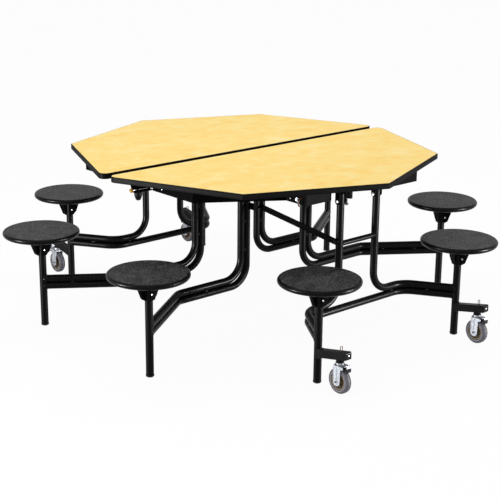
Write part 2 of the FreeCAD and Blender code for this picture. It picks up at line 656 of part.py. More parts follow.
def latch_rod(side, half_turn):
    """Sliding rod with a ball knob and a bent inner end."""
    ball = document.addObject("Part::Sphere", "ball")
    bind(ball, Radius="D.latch_ball_diameter / 2")
    place(ball, f"-{LATCH_BALL_X}", "-D.latch_y", LATCH_HEIGHT, 90)
    stations = [(point(f"-{LATCH_BALL_X}", "-D.latch_y", LATCH_HEIGHT), 0),
                (point(f"-{LATCH_HOOK_X}", "-D.latch_y", LATCH_HEIGHT), value("D.latch_rod_diameter")),
                (point(f"-{LATCH_HOOK_X}", "-D.latch_y", f"{LATCH_HEIGHT} - D.latch_hook_drop"), 0)]
    rod_wire = bent_tube(stations, "D.latch_rod_diameter")
    keep(fuse("latch_rod", [ball, rod_wire]), f"latch_rod_{side}", half_turn)


def latch_cup(side, half_turn):
    """Tapered rubber bumper on a stem through the shelf of the latch bracket."""
    cup = new_body("cup")
    profile = sketch_on(cup, "XZ_Plane")
    radius = "(D.cup_diameter / 2)"
    stem = "(D.cup_stem_diameter / 2)"
    foot = "(D.cup_foot_diameter / 2)"
    hollow = "(D.cup_hollow_diameter / 2)"
    top = f"({LATCH_SHELF} - D.latch_plate)"
    bottom = f"({top} - D.cup_height)"
    outline(profile, [("0", LATCH_SHELF), (stem, LATCH_SHELF), (stem, top), (radius, top),
                      (radius, f"{top} - D.cup_collar"), (foot, f"{bottom} + D.cup_foot_round"),
                      (f"{foot} - D.cup_foot_round", bottom), (hollow, bottom),
                      (hollow, f"{bottom} + D.cup_hollow"), ("0", f"{bottom} + D.cup_hollow")])
    revolve(cup, profile, "V_Axis")
    place(cup, f"-{LATCH_OUTER_X} + D.cup_inset", "-D.latch_y", "0")
    keep(group("cup_in_place", [cup]), f"latch_cup_{side}", half_turn)


# ---------------------------------------------------------------- centre frame

def foot_cap(x, y, lift):
    """A plastic foot cap with a plug that sits in the end of a post."""
    body = new_body("foot_cap")
    profile = sketch_on(body, "XZ_Plane")
    rim = "(D.glide_diameter / 2)"
    plug = "(D.glide_plug_diameter / 2)"
    outline(profile, [("0", "0"), (f"{rim} - D.glide_round", "0"), (rim, "D.glide_round"),
                      (rim, "D.glide_height"), (plug, "D.glide_height"),
                      (plug, "D.glide_height + D.glide_plug_height"),
                      ("0", "D.glide_height + D.glide_plug_height")])
    revolve(body, profile, "V_Axis")
    place(body, x, y, lift)
    return body


def post(x, y, lift):
    """A stool post from its foot cap up to the plate of the seat bracket."""
    start = f"(D.glide_height + {lift})"
    tube = rod("z", "D.post_diameter", f"{POST_TOP} - {start}", x, y, start)
    socket = rod("z", "D.glide_plug_diameter + 2 * D.fit_clearance",
                 "D.glide_plug_height + D.fit_clearance", x, y, start)
    return tube, socket


def inner_leg(name, side, carries_link, half_turn):
    """Stool post and two stacked tubes that bend in plan and then turn up to the yoke."""
    tube, socket = post(f"{side} * D.seat_inner_x", "-D.seat_inner_y", "0")
    pieces = [tube]
    levels = (("D.lower_tube_height", "(D.inner_upright_x - D.inner_upright_pitch)"),
              (UPPER_TUBE, "D.inner_upright_x"))
    for height, upright in levels:
        stations = [("D.seat_inner_x", "-D.seat_inner_y", height, "0"),
                    ("D.inner_knee_x", "-D.inner_beam_y", height, "D.inner_knee_radius"),
                    (upright, "-D.inner_beam_y", height, "D.rise_radius"),
                    (upright, "-D.inner_beam_y", YOKE_BOTTOM, "0")]
        pieces.append(bent_tube([(point(f"{side} * {x}", y, z), value(radius))
                                 for x, y, z, radius in stations], "D.tube_diameter"))
    if carries_link:
        pieces += link_gusset()
    keep(cut("inner_leg", fuse("leg_blank", pieces), [socket]), name, half_turn)


def link_span(diameter, near, far, y, z):
    """A round bar on the link bar's side of the table, between two distances from the middle."""
    return rod("x", diameter, f"{far} - {near}", f"-({far})", y, z)


def link_gusset():
    """Plate, spacer, pin and head that hold a link bar's upper pivot on an inner leg."""
    tube_face = "(D.inner_upright_x - D.inner_upright_pitch - D.tube_diameter / 2)"
    plate_inner = f"({tube_face} - D.gusset_thickness / 2)"
    height = f"({HINGE_HEIGHT} - D.link_drop)"
    y = "(-D.hinge_y)"
    plate = box(f"-({tube_face} + D.gusset_thickness / 2)", f"-{plate_inner}",
                f"{y} - D.link_spacer_diameter / 2", "-D.inner_beam_y",
                f"{height} - D.gusset_height / 2", f"{height} + D.gusset_height / 2")
    head_inner = f"({LINK_INNER_FACE} - D.pin_head_thickness)"
    return [plate,
            link_span("D.link_spacer_diameter", LINK_OUTER_FACE, plate_inner, y, height),
            link_span("D.link_pin_diameter", LINK_INNER_FACE, LINK_OUTER_FACE, y, height),
            link_span("D.link_spacer_diameter", head_inner, LINK_INNER_FACE, y, height)]


def centre_yoke():
    """Bars that join the four inner legs under the seam, with the fold hinge lugs."""
    pieces = []
    half_lug = "(D.yoke_lug_thickness / 2)"
    for side in (-1, 1):
        middle = f"({side} * {YOKE_BAR_X})"
        pieces.append(box(f"{middle} - D.yoke_bar_width / 2", f"{middle} + D.yoke_bar_width / 2",
                          "-D.yoke_bar_reach", "D.yoke_bar_reach", YOKE_BOTTOM, YOKE_TOP))
        inner = f"({YOKE_BAR_X} - D.yoke_bar_width / 2)"
        pieces.append(box(f"-{inner}", inner, f"{side} * D.inner_beam_y - D.yoke_cross_width / 2",
                          f"{side} * D.inner_beam_y + D.yoke_cross_width / 2",
                          YOKE_BOTTOM, YOKE_TOP))
        for end in (-1, 1):
            tip = f"({end} * D.hinge_y)"
            root = f"({end} * (D.yoke_bar_reach - D.hinge_lug_radius))"
            low, high = (tip, root) if end < 0 else (root, tip)
            pieces.append(box(f"{middle} - {half_lug}", f"{middle} + {half_lug}", low, high,
                              f"{HINGE_HEIGHT} - D.hinge_lug_radius",
                              f"{HINGE_HEIGHT} + D.hinge_lug_radius"))
            neck = f"({end} * (D.hinge_y - D.hinge_lug_radius))"
            low, high = (neck, root) if end < 0 else (root, neck)
            pieces.append(box(f"{middle} - {half_lug}", f"{middle} + {half_lug}", low, high,
                              f"{YOKE_TOP} - D.yoke_bar_thickness / 2", HINGE_HEIGHT))
            pieces.append(rod("x", "2 * D.hinge_lug_radius", "D.yoke_lug_thickness",
                              f"{middle} - {half_lug}", tip, HINGE_HEIGHT))
    bores = [rod("x", "D.hinge_pin_diameter + 2 * D.fit_clearance", f"4 * {YOKE_BAR_X}",
                 f"-2 * {YOKE_BAR_X}", f"{end} * D.hinge_y", HINGE_HEIGHT) for end in (-1, 1)]
    keep(cut("yoke", fuse("yoke_blank", pieces), bores), "centre_yoke")


def centre_hinge_pins():
    """Four fold hinge pins with a head at each end."""
    reach = "(D.yoke_lug_thickness / 2 + D.lug_gap + D.top_lug_thickness)"
    pins = []
    for side in (-1, 1):
        for end in (-1, 1):
            start = f"({side} * {YOKE_BAR_X} - {reach})"
            y = f"{end} * D.hinge_y"
            shank = headed_pin("D.hinge_pin_diameter", start, f"2 * {reach}", y, HINGE_HEIGHT, 1)
            head = rod("x", "D.hinge_pin_diameter + 2 * D.pin_head_step", "D.pin_head_thickness",
                       f"{start} - D.pin_head_thickness", y, HINGE_HEIGHT)
            pins.append(fuse("hinge_pin", [shank, head]))
    keep(group("centre_hinge_pins_group", pins), "centre_hinge_pins")


def link_bar(side, half_turn):
    """Flat bar that keeps an outer frame upright while its half folds."""
    length = f"(sqrt((D.outer_beam_y - D.hinge_y)^2 + ({HINGE_HEIGHT} - {HANGER_HEIGHT})^2))"
    slope = f"atan(({HINGE_HEIGHT} - {HANGER_HEIGHT}) / (D.outer_beam_y - D.hinge_y))"
    half = "(D.link_thickness / 2)"
    pieces = [box(f"-{half}", half, f"-{length}", "0", "-D.link_width / 2", "D.link_width / 2")]
    for y in ("0", f"-{length}"):
        pieces.append(rod("x", "D.link_width", "D.link_thickness", f"-{half}", y, "0"))
    holes = [rod("x", "D.link_pin_diameter + 2 * D.fit_clearance", "D.link_width", "-D.link_width / 2",
                 "0", "0"),
             rod("x", "D.link_pin_diameter + 2 * D.link_open_clearance", "D.link_width",
                 "-D.link_width / 2", f"-{length}", "0")]
    flat = cut("flat_bar", fuse("flat_bar_blank", pieces), holes)
    place(flat, "-D.link_x", "-D.hinge_y", f"{HINGE_HEIGHT} - D.link_drop", value(slope), X_AXIS)
    flat.setExpression("Placement.Rotation.Angle", slope)
    keep(group("bar_in_place", [flat]), f"link_bar_{side}", half_turn)


# ---------------------------------------------------------------- outer frames

def arm_level(distance, offset):
    """Height on a caster arm at a distance from the seam, off its centre line."""
    return (f"(D.arm_centre_height + ({distance} - D.caster_y) * tan(D.arm_rise)"
            f" + {offset} * D.arm_height / 2 / cos(D.arm_rise))")


def caster_arm(side):
    """Sloping square arm from a stool post out to a caster."""
    body = new_body("caster_arm")
    sketch = sketch_on(body, "YZ_Plane")
    outline(sketch, [("-D.seat_outer_y", arm_level("D.seat_outer_y", -1)),
                     ("-D.arm_end_y", arm_level("D.arm_end_y", -1)),
                     ("-D.arm_end_y", arm_level("D.arm_end_y", 1)),
                     ("-D.seat_outer_y", arm_level("D.seat_outer_y", 1))])
    beam = pad(body, sketch, "D.arm_width", both_ways=True)
    end_y = value("D.arm_end_y")
    fillet(body, beam, lambda edge: abs(edge.CenterOfMass.y + end_y) < 1e-6
           and abs(edge.CenterOfMass.x) < 1e-6, "D.arm_end_round")
    place(body, f"{side} * D.seat_outer_x")
    return body


def outer_side(side):
    """One side of an outer frame: upper tube, stool post, caster arm and caster seat."""
    x = f"{side} * D.seat_outer_x"
    upright = f"({side} * D.outer_upright_x)"
    stations = [(x, "-D.seat_outer_y", UPPER_TUBE, "0"),
                (f"{side} * D.outer_knee_x", "-D.outer_beam_y", UPPER_TUBE, "D.outer_knee_radius"),
                (upright, "-D.outer_beam_y", UPPER_TUBE, "D.rise_radius"),
                (upright, "-D.outer_beam_y", f"{HANGER_HEIGHT} + D.upright_top_rise", "0")]
    upper_tube = bent_tube([(point(*spot), value(radius)) for *spot, radius in stations],
                           "D.tube_diameter")
    tube, socket = post(x, "-D.seat_outer_y", "D.outer_foot_lift")
    caster_seat = rod("z", "D.boss_diameter", f"D.arm_centre_height - {BOSS_BOTTOM}",
                      x, "-D.caster_y", BOSS_BOTTOM)
    pin_hole = rod("z", "D.kingpin_diameter + 2 * D.fit_clearance", "D.kingpin_height + D.boss_gap",
                   x, "-D.caster_y", BOSS_BOTTOM)
    return [upper_tube, tube, caster_arm(side), caster_seat], [socket, pin_hole]


def outer_frame(side_name, half_turn):
    """Two stool posts, a through lower tube, two rising upper tubes and the caster arms."""
    ends = [("-D.seat_outer_x", "-D.seat_outer_y", "0"),
            ("-D.outer_knee_x", "-D.outer_beam_y", "D.outer_knee_radius"),
            ("D.outer_knee_x", "-D.outer_beam_y", "D.outer_knee_radius"),
            ("D.seat_outer_x", "-D.seat_outer_y", "0")]
    pieces = [bent_tube([(point(x, y, "D.lower_tube_height"), value(radius)) for x, y, radius in ends],
                        "D.tube_diameter")]
    cutters = []
    for side in (-1, 1):
        side_pieces, side_cutters = outer_side(side)
        pieces += side_pieces
        cutters += side_cutters
    pieces.append(rod("x", "D.cross_tube_diameter", "2 * D.outer_upright_x", "-D.outer_upright_x",
                      "-D.outer_beam_y", "D.cross_tube_height"))
    height = f"({HANGER_HEIGHT} - D.link_drop)"
    spans = (("D.link_spacer_diameter", "D.outer_upright_x", LINK_INNER_FACE),
             ("D.link_pin_diameter", LINK_INNER_FACE, LINK_OUTER_FACE),
             ("D.link_spacer_diameter", LINK_OUTER_FACE, f"({LINK_OUTER_FACE} + D.pin_head_thickness)"))
    pieces += [link_span(diameter, near, far, "-D.outer_beam_y", height) for diameter, near, far in spans]
    cutters.append(rod("x", "D.hanger_pin_diameter + 2 * D.fit_clearance", "4 * D.outer_upright_x",
                       "-2 * D.outer_upright_x", "-D.outer_beam_y", HANGER_HEIGHT))
    frame = cut("outer_frame", fuse("frame_blank", pieces), cutters)
    keep(frame, f"outer_frame_{side_name}", half_turn)


def tie_rings(side_name, half_turn):
    """Wire loops that stand on the caster arms."""
    rings = []
    for side in (-1, 1):
        half = "((D.ring_width - D.ring_wire) / 2)"
        x = f"{side} * D.seat_outer_x"
        foot = arm_level("D.ring_y", 0)
        crest = f"({arm_level('D.ring_y', 1)} + D.ring_rise - D.ring_wire / 2)"
        bend = value("D.ring_bend")
        stations = [(point(f"{x} - {half}", "-D.ring_y", foot), 0),
                    (point(f"{x} - {half}", "-D.ring_y", crest), bend),
                    (point(f"{x} + {half}", "-D.ring_y", crest), bend),
                    (point(f"{x} + {half}", "-D.ring_y", foot), 0)]
        rings.append(cut("ring", bent_tube(stations, "D.ring_wire"), [caster_arm(side)]))
    keep(group("tie_rings", rings), f"tie_rings_{side_name}", half_turn)


# ---------------------------------------------------------------- stools

def seat_disc(name, x, y):
    """Moulded stool disc: rounded rim, hollow underside and a boss with the spindle bore."""
    body = new_body("seat")
    profile = sketch_on(body, "XZ_Plane")
    bore = "(D.spindle_diameter / 2 + D.fit_clearance)"
    depth = "(D.spindle_height + D.spindle_end_gap)"
    hub = "(D.seat_hub_diameter / 2)"
    rim = "(D.seat_diameter / 2)"
    skirt = f"({rim} - D.seat_skirt_width)"
    outline(profile, [("0", depth), (bore, depth), (bore, "0"), (hub, "0"), (hub, "D.seat_recess_depth"),
                      (skirt, "D.seat_recess_depth"), (skirt, "0"), (rim, "0"),
                      (rim, "D.seat_thickness"), ("0", "D.seat_thickness")])
    disc = revolve(body, profile, "V_Axis")
    radius = value(rim)
    upper = fillet(body, disc, lambda edge: is_circle(edge, radius, Z_AXIS, value("D.seat_thickness")),
                   "D.seat_top_round")
    fillet(body, upper, lambda edge: is_circle(edge, radius, Z_AXIS, 0), "D.seat_bottom_round")
    place(body, x, y, "D.seat_height - D.seat_thickness")
    keep(body, name)


def seat_bracket(x, y):
    """Crossed wings under a round plate, over the top of a stool post, with the swivel spindle."""
    body = new_body("seat_bracket")
    plate = sketch_on(body, "XY_Plane", POST_TOP)
    ring_outline(plate, "0", "0", "D.bracket_top_reach")
    pad(body, plate, "D.bracket_plate_thickness")
    shoulder = "(D.bracket_foot_height + D.bracket_chamfer)"
    for role in ("XZ_Plane", "YZ_Plane"):
        wing = sketch_on(body, role)
        outline(wing, [("-D.bracket_top_reach", POST_TOP), ("-D.bracket_foot_reach", shoulder),
                       ("-D.bracket_foot_half", "D.bracket_foot_height"),
                       ("D.bracket_foot_half", "D.bracket_foot_height"),
                       ("D.bracket_foot_reach", shoulder), ("D.bracket_top_reach", POST_TOP)])
        pad(body, wing, "D.bracket_wing_thickness", both_ways=True)
    spindle = sketch_on(body, "XY_Plane", BRACKET_TOP)
    ring_outline(spindle, "0", "0", "D.spindle_diameter / 2")
    pad(body, spindle, "D.spindle_height")
    bore = sketch_on(body, "XY_Plane", "D.bracket_foot_height")
    ring_outline(bore, "0", "0", "D.post_diameter / 2 + D.fit_clearance")
    pocket(body, bore, f"{POST_TOP} - D.bracket_foot_height")
    place(body, x, y)
    return body


# ---------------------------------------------------------------- casters

def caster_place(item, side, end, outward, height):
    """Put a caster piece beside its swivel axis; at the back it is turned round."""
    place(item, f"{side} * D.seat_outer_x", f"{end} * (D.caster_y + {outward})", height,
          0 if end < 0 else 180)


def caster_fork(name, side, end):
    """Pressed fork with crown, swivel pin, axle, nuts, a tab and the pedal's ears."""
    axle_height = "(D.wheel_diameter / 2)"
    body = new_body("fork_legs")
    sketch = sketch_on(body, "YZ_Plane")
    outline(sketch, [("-D.caster_trail - D.fork_leg_top_half", "D.fork_plate_top"),
                     ("-D.caster_trail - D.fork_leg_foot_radius", axle_height),
                     ("-D.caster_trail + D.fork_leg_foot_radius", axle_height),
                     ("-D.caster_trail + D.fork_leg_top_half", "D.fork_plate_top")])
    pad(body, sketch, "D.fork_width", both_ways=True)
    foot = rod("x", "2 * D.fork_leg_foot_radius", "D.fork_width", "-D.fork_width / 2",
               "-D.caster_trail", axle_height)
    ears = box("-D.fork_width / 2", "D.fork_width / 2", "-D.pedal_pivot_out", "-D.caster_trail",
               "D.pedal_pivot_height - D.pedal_hub_radius", "D.pedal_pivot_height + D.pedal_hub_radius")
    ear_ends = rod("x", "2 * D.pedal_hub_radius", "D.fork_width", "-D.fork_width / 2",
                   "-D.pedal_pivot_out", "D.pedal_pivot_height")
    inner = "(D.fork_width / 2 - D.fork_leg)"
    wheel_space = box(f"-{inner}", inner, "-D.wheel_diameter", "D.wheel_diameter", "0",
                      "D.fork_plate_bottom")
    pedal_space = box(f"-{inner}", inner, "-D.wheel_diameter", "-D.caster_trail - D.fork_leg_top_half",
                      "0", "D.crown_top")
    shell = cut("fork_shell", fuse("fork_blank", [body, foot, ears, ear_ends]),
                [wheel_space, pedal_space])
    crown = rod("z", "D.crown_diameter", "D.crown_top - D.fork_plate_bottom", "0", "0",
                "D.fork_plate_bottom")
    kingpin = rod("z", "D.kingpin_diameter", "D.kingpin_height", "0", "0", "D.crown_top")
    axle = rod("x", "D.axle_diameter", "D.fork_width", "-D.fork_width / 2", "-D.caster_trail",
               axle_height)
    pedal_pin = rod("x", "D.pedal_pin_diameter", "D.fork_width", "-D.fork_width / 2",
                    "-D.pedal_pivot_out", "D.pedal_pivot_height")
    pieces = [shell, crown, kingpin, axle, pedal_pin]
    for start in ("(-D.fork_width / 2 - D.axle_nut_thickness)", "(D.fork_width / 2)"):
        nut = document.addObject("Part::Prism", "nut")
        nut.Polygon = 6
        bind(nut, Circumradius="D.axle_nut_radius", Height="D.axle_nut_thickness")
        place(nut, start, "-D.caster_trail", axle_height, 90, Y_AXIS)
        pieces.append(nut)
    fork = fuse("fork", pieces)
    caster_place(fork, side, end, "0", "0")
    keep(fork, name)


def wheel_core(name, side, end):
    body = new_body("wheel_core")
    profile = sketch_on(body, "XY_Plane")
    bore = "(D.axle_diameter / 2 + D.fit_clearance)"
    hub = "(D.fork_width / 2 - D.fork_leg - D.wheel_side_gap)"
    web = "(D.wheel_web / 2)"
    rim = "(D.wheel_rim_width / 2)"
    outline(profile, [(f"-{hub}", bore), (hub, bore), (hub, "D.wheel_hub_radius"),
                      (web, "D.wheel_hub_radius"), (web, "D.wheel_rim_inner_radius"),
                      (rim, "D.wheel_rim_inner_radius"), (rim, "D.wheel_rim_radius"),
                      (f"-{rim}", "D.wheel_rim_radius"), (f"-{rim}", "D.wheel_rim_inner_radius"),
                      (f"-{web}", "D.wheel_rim_inner_radius"), (f"-{web}", "D.wheel_hub_radius"),
                      (f"-{hub}", "D.wheel_hub_radius")])
    revolve(body, profile, "H_Axis")
    caster_place(body, side, end, "D.caster_trail", "D.wheel_diameter / 2")
    keep(body, name)


def tyre(name, side, end):
    body = new_body("tyre")
    profile = sketch_on(body, "XY_Plane")
    half = "(D.tyre_width / 2)"
    inner = "(D.wheel_rim_radius + D.fit_clearance)"
    outer = "(D.wheel_diameter / 2)"
    outline(profile, [(f"-{half}", inner), (half, inner), (half, outer), (f"-{half}", outer)])
    tread = revolve(body, profile, "H_Axis")
    fillet(body, tread, lambda edge: is_circle(edge, value(outer)), "D.tyre_round")
    caster_place(body, side, end, "D.caster_trail", "D.wheel_diameter / 2")
    keep(body, name)


def brake_pedal(name, side, end):
    """Foot pedal that turns its shoe down on the tyre."""
    body = new_body("pedal")
    sketch = sketch_on(body, "YZ_Plane")
    outline(sketch, [("-D.pedal_pivot_out", "D.pedal_pivot_height + D.pedal_hub_radius"),
                     ("-D.pedal_reach", "D.pedal_tip_height"),
                     ("-D.pedal_reach", "D.pedal_shoe_height + D.pedal_shoe_inset"),
                     ("-D.pedal_reach + D.pedal_shoe_inset", "D.pedal_shoe_height"),
                     ("-D.pedal_pivot_out", "D.pedal_pivot_height - D.pedal_hub_radius")])
    pad(body, sketch, "D.pedal_shoe_width", both_ways=True)
    half = "(D.fork_width / 2 - D.fork_leg - D.wheel_side_gap)"
    hub = rod("x", "2 * D.pedal_hub_radius", f"2 * {half}", f"-{half}", "-D.pedal_pivot_out",
              "D.pedal_pivot_height")
    bore = rod("x", "D.pedal_pin_diameter + 2 * D.fit_clearance", "D.fork_width", "-D.fork_width / 2",
               "-D.pedal_pivot_out", "D.pedal_pivot_height")
    pedal = cut("brake_pedal", fuse("pedal_blank", [body, hub]), [bore])
    caster_place(pedal, side, end, "0", "0")
    keep(pedal, name)


# ---------------------------------------------------------------- the whole table

centre_yoke()
centre_hinge_pins()
inner_leg("inner_leg_front_left", -1, True, False)
inner_leg("inner_leg_front_right", 1, False, False)
inner_leg("inner_leg_back_right", -1, True, True)
inner_leg("inner_leg_back_left", 1, False, True)
inner_stools = [(f"{side} * D.seat_inner_x", f"{end} * D.seat_inner_y")
                for end in (-1, 1) for side in (-1, 1)]
keep(group("inner_foot_caps_group", [foot_cap(x, y, "0") for x, y in inner_stools]), "inner_foot_caps")
keep(group("inner_brackets", [seat_bracket(x, y) for x, y in inner_stools]), "inner_seat_brackets")

for side_name, half_turn, end in (("front", False, -1), ("back", True, 1)):
    table_top(side_name, half_turn)
    apron(side_name, half_turn)
    top_frame(side_name, half_turn)
    hanger_pins(side_name, half_turn)
    stop_screw(side_name, half_turn)
    latch_bracket(side_name, half_turn)
    latch_rod(side_name, half_turn)
    latch_cup(side_name, half_turn)
    link_bar(side_name, half_turn)
    outer_frame(side_name, half_turn)
    tie_rings(side_name, half_turn)
    outer_stools = [(f"{side} * D.seat_outer_x", f"{end} * D.seat_outer_y") for side in (-1, 1)]
    keep(group("outer_foot_caps_group", [foot_cap(x, y, "D.outer_foot_lift") for x, y in outer_stools]),
         f"outer_foot_caps_{side_name}")
    keep(group("outer_brackets", [seat_bracket(x, y) for x, y in outer_stools]),
         f"outer_seat_brackets_{side_name}")
    for side, hand in ((-1, "left"), (1, "right")):
        seat_disc(f"seat_inner_{side_name}_{hand}", f"{side} * D.seat_inner_x", f"{end} * D.seat_inner_y")
        seat_disc(f"seat_outer_{side_name}_{hand}", f"{side} * D.seat_outer_x", f"{end} * D.seat_outer_y")
        caster_fork(f"caster_fork_{side_name}_{hand}", side, end)
        wheel_core(f"wheel_core_{side_name}_{hand}", side, end)
        tyre(f"tyre_{side_name}_{hand}", side, end)
        brake_pedal(f"brake_pedal_{side_name}_{hand}", side, end)

document.recompute()

for item in document.Objects:
    if "Invalid" in item.State or "Error" in item.State:
        raise RuntimeError(f"{item.Name} ({item.Label}) failed to build")
for item in NODES:
    if item.Shape.isNull() or not item.Shape.isValid():
        raise RuntimeError(f"{item.Label} has no valid shape")

os.makedirs("parts", exist_ok=True)
for item in NODES:
    item.Shape.exportStep(f"parts/{item.Label}.step")
print(len(NODES), "sub-parts written")
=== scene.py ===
"""Looks of a mobile folding cafeteria table: a laminate octagon in two halves, eight swivel stools
on bent steel legs, and four braked casters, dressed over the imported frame."""

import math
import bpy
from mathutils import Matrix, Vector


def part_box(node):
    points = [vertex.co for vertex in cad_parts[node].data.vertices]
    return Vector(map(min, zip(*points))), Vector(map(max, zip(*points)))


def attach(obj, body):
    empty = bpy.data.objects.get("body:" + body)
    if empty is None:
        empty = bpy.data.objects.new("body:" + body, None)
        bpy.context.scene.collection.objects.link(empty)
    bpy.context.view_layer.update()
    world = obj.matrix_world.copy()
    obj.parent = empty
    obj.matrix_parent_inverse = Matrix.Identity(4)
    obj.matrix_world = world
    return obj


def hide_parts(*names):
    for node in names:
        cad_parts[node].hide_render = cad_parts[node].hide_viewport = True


bl_info = {
    "name": "Stool table looks",
    "version": (1, 0, 0),
    "blender": (4, 5, 0),
    "location": "View3D > Sidebar > Stool table",
    "description": "Finishes, mouldings, welds, screws and casters of a folding stool table",
    "category": "Object",
}

import bmesh
import bpy
from mathutils import Matrix, Vector

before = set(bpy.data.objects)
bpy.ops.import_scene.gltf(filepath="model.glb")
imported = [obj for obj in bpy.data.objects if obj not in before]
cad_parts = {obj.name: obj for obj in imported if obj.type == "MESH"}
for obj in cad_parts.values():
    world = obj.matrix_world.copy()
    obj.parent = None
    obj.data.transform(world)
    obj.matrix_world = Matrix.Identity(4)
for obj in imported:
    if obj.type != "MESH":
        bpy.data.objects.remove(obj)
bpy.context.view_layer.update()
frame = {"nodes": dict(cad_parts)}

ENDS = {"front": 0.0, "back": math.pi}
HANDS = {"left": -1, "right": 1}
MM = 0.001
WHITE = (1.0, 1.0, 1.0, 1.0)

# The steelwork in metres. Posts, knees and caster axes are plan points of the +X +Y quarter.
TUBE_RADIUS = 15.875 * MM
INNER_POST = (0.873, 0.383)
INNER_KNEE = (0.552, 0.158)
OUTER_POST = (0.415, 0.862)
OUTER_KNEE = (0.285, 0.660)
CASTER_AXIS = (0.415, 0.983)
# Heights of the two stacked tubes of a leg, and of the groove between them.
BEAM_HEIGHTS = (0.182, 0.214)
GROOVE_HEIGHT = 198 * MM
# X of the two uprights of a leg under the yoke, and the height of the weld round their tops.
UPRIGHTS = (0.171, 0.203)
COLLAR_HEIGHT = 0.6592
# The line of the front half's latch rod.
LATCH_Y = -0.046
LATCH_Z = 0.665

# Area lamps: name, place, width, height, power, and whether they light colour as well as gloss.
# The two that light gloss alone stay below the stool tops, which they would whiten.
LAMPS = (("strip_left", (-3.6, -0.4, 2.2), 0.22, 2.6, 30.0, True),
         ("strip_right", (2.6, -3.6, 2.0), 0.22, 2.6, 26.0, True),
         ("front", (-2.9, -3.0, 3.0), 1.8, 0.4, 26.0, True),
         ("overhead", (0.2, 0.6, 3.6), 3.0, 0.7, 34.0, True),
         ("gloss_left", (-4.4, 0.92, 0.22), 0.30, 0.36, 620.0, False),
         ("gloss_right", (2.1, -3.95, 0.22), 0.30, 0.36, 620.0, False))
LAMP_TARGET = (0, 0, 0.35)

# Camera angles are in degrees.
CAMERA_PLACE = (-3.599184, -4.047750, 1.922936)
CAMERA_HEADING = -41.798
CAMERA_DOWN = 17.098
CAMERA_ROLL = 0.612


# ------------------------------------------------------------------ shader maths

class Wire:
    """A shader value that takes part in arithmetic."""

    def __init__(self, finish, socket):
        self.finish = finish
        self.socket = socket

    def joined(self, operation, first, second):
        return self.finish.node("ShaderNodeMath", {"operation": operation}, {0: first, 1: second})

    def other(self, name):
        """Another output of the node this value comes from."""
        return Wire(self.finish, self.socket.node.outputs[name])

    def __add__(self, other):
        return self.joined("ADD", self, other)

    def __sub__(self, other):
        return self.joined("SUBTRACT", self, other)

    def __rsub__(self, other):
        return self.joined("SUBTRACT", other, self)

    def __mul__(self, other):
        return self.joined("MULTIPLY", self, other)

    def __gt__(self, other):
        return self.joined("GREATER_THAN", self, other)

    __radd__ = __add__
    __rmul__ = __mul__


class Nodes:
    """A node tree, with short ways to add to it."""

    def __init__(self, tree):
        self.tree = tree
        self.tree.nodes.clear()

    def node(self, kind, settings=None, inputs=None, output=0):
        """Add a node, settings first, then its sockets' values or wires."""
        made = self.tree.nodes.new(kind)
        for name, amount in (settings or {}).items():
            if name == "stops":
                self.set_stops(made.color_ramp, amount)
            else:
                setattr(made, name, amount)
        for name, amount in (inputs or {}).items():
            if isinstance(amount, Wire):
                self.tree.links.new(amount.socket, made.inputs[name])
            else:
                made.inputs[name].default_value = amount
        return None if output is None else Wire(self, made.outputs[output])

    @staticmethod
    def set_stops(ramp, stops):
        while len(ramp.elements) < len(stops):
            ramp.elements.new(0.5)
        for element, (position, colour) in zip(ramp.elements, stops):
            element.position = position
            element.color = (*colour, 1.0)

    def plain_rays(self):
        """1 for what the camera, a mirror or glass sees straight, 0 for soft light."""
        rays = self.node("ShaderNodeLightPath")
        return (rays + rays.other("Is Glossy Ray") + rays.other("Is Transmission Ray")) > 0.5


class Finish(Nodes):
    """A procedural material."""

    def __init__(self, name):
        self.material = bpy.data.materials.new(name)
        self.material.use_nodes = True
        super().__init__(self.material.node_tree)
        self.place = self.node("ShaderNodeTexCoord", output="Object")

    def stretched(self, x, y, z):
        return self.node("ShaderNodeMapping", {}, {"Vector": self.place, "Scale": (x, y, z)})

    def noise(self, scale, detail=3.0, where=None, distortion=0.0, roughness=0.5):
        return self.node("ShaderNodeTexNoise", {}, {
            "Vector": where or self.place, "Scale": scale, "Detail": detail,
            "Distortion": distortion, "Roughness": roughness})

    def cells(self, scale, output="Distance"):
        return self.node("ShaderNodeTexVoronoi", {}, {"Vector": self.place, "Scale": scale}, output)

    def mixed(self, share, first, second):
        return self.node("ShaderNodeMix", {"data_type": "RGBA"},
                         {0: share, 6: first, 7: second}, 2)

    def ramp(self, amount, stops):
        return self.node("ShaderNodeValToRGB", {"stops": stops}, {"Fac": amount})

    def bump(self, height, depth, strength):
        return self.node("ShaderNodeBump", {},
                         {"Height": height, "Distance": depth, "Strength": strength})

    def shade(self, **inputs):
        """Finish the material with a surface shader; names use _ for a space."""
        named = {name.replace("_", " "): amount for name, amount in inputs.items()}
        return self.done(self.node("ShaderNodeBsdfPrincipled", {}, named))

    def done(self, surface):
        self.node("ShaderNodeOutputMaterial", {}, {"Surface": surface}, None)
        return self.material


def opaque(colour):
    return (colour[0], colour[1], colour[2], 1.0)


def tinted(colour, factor):
    """A colour made darker or lighter."""
    return tuple(min(1.0, part * factor) for part in colour[:3])


# ------------------------------------------------------------------ finishes

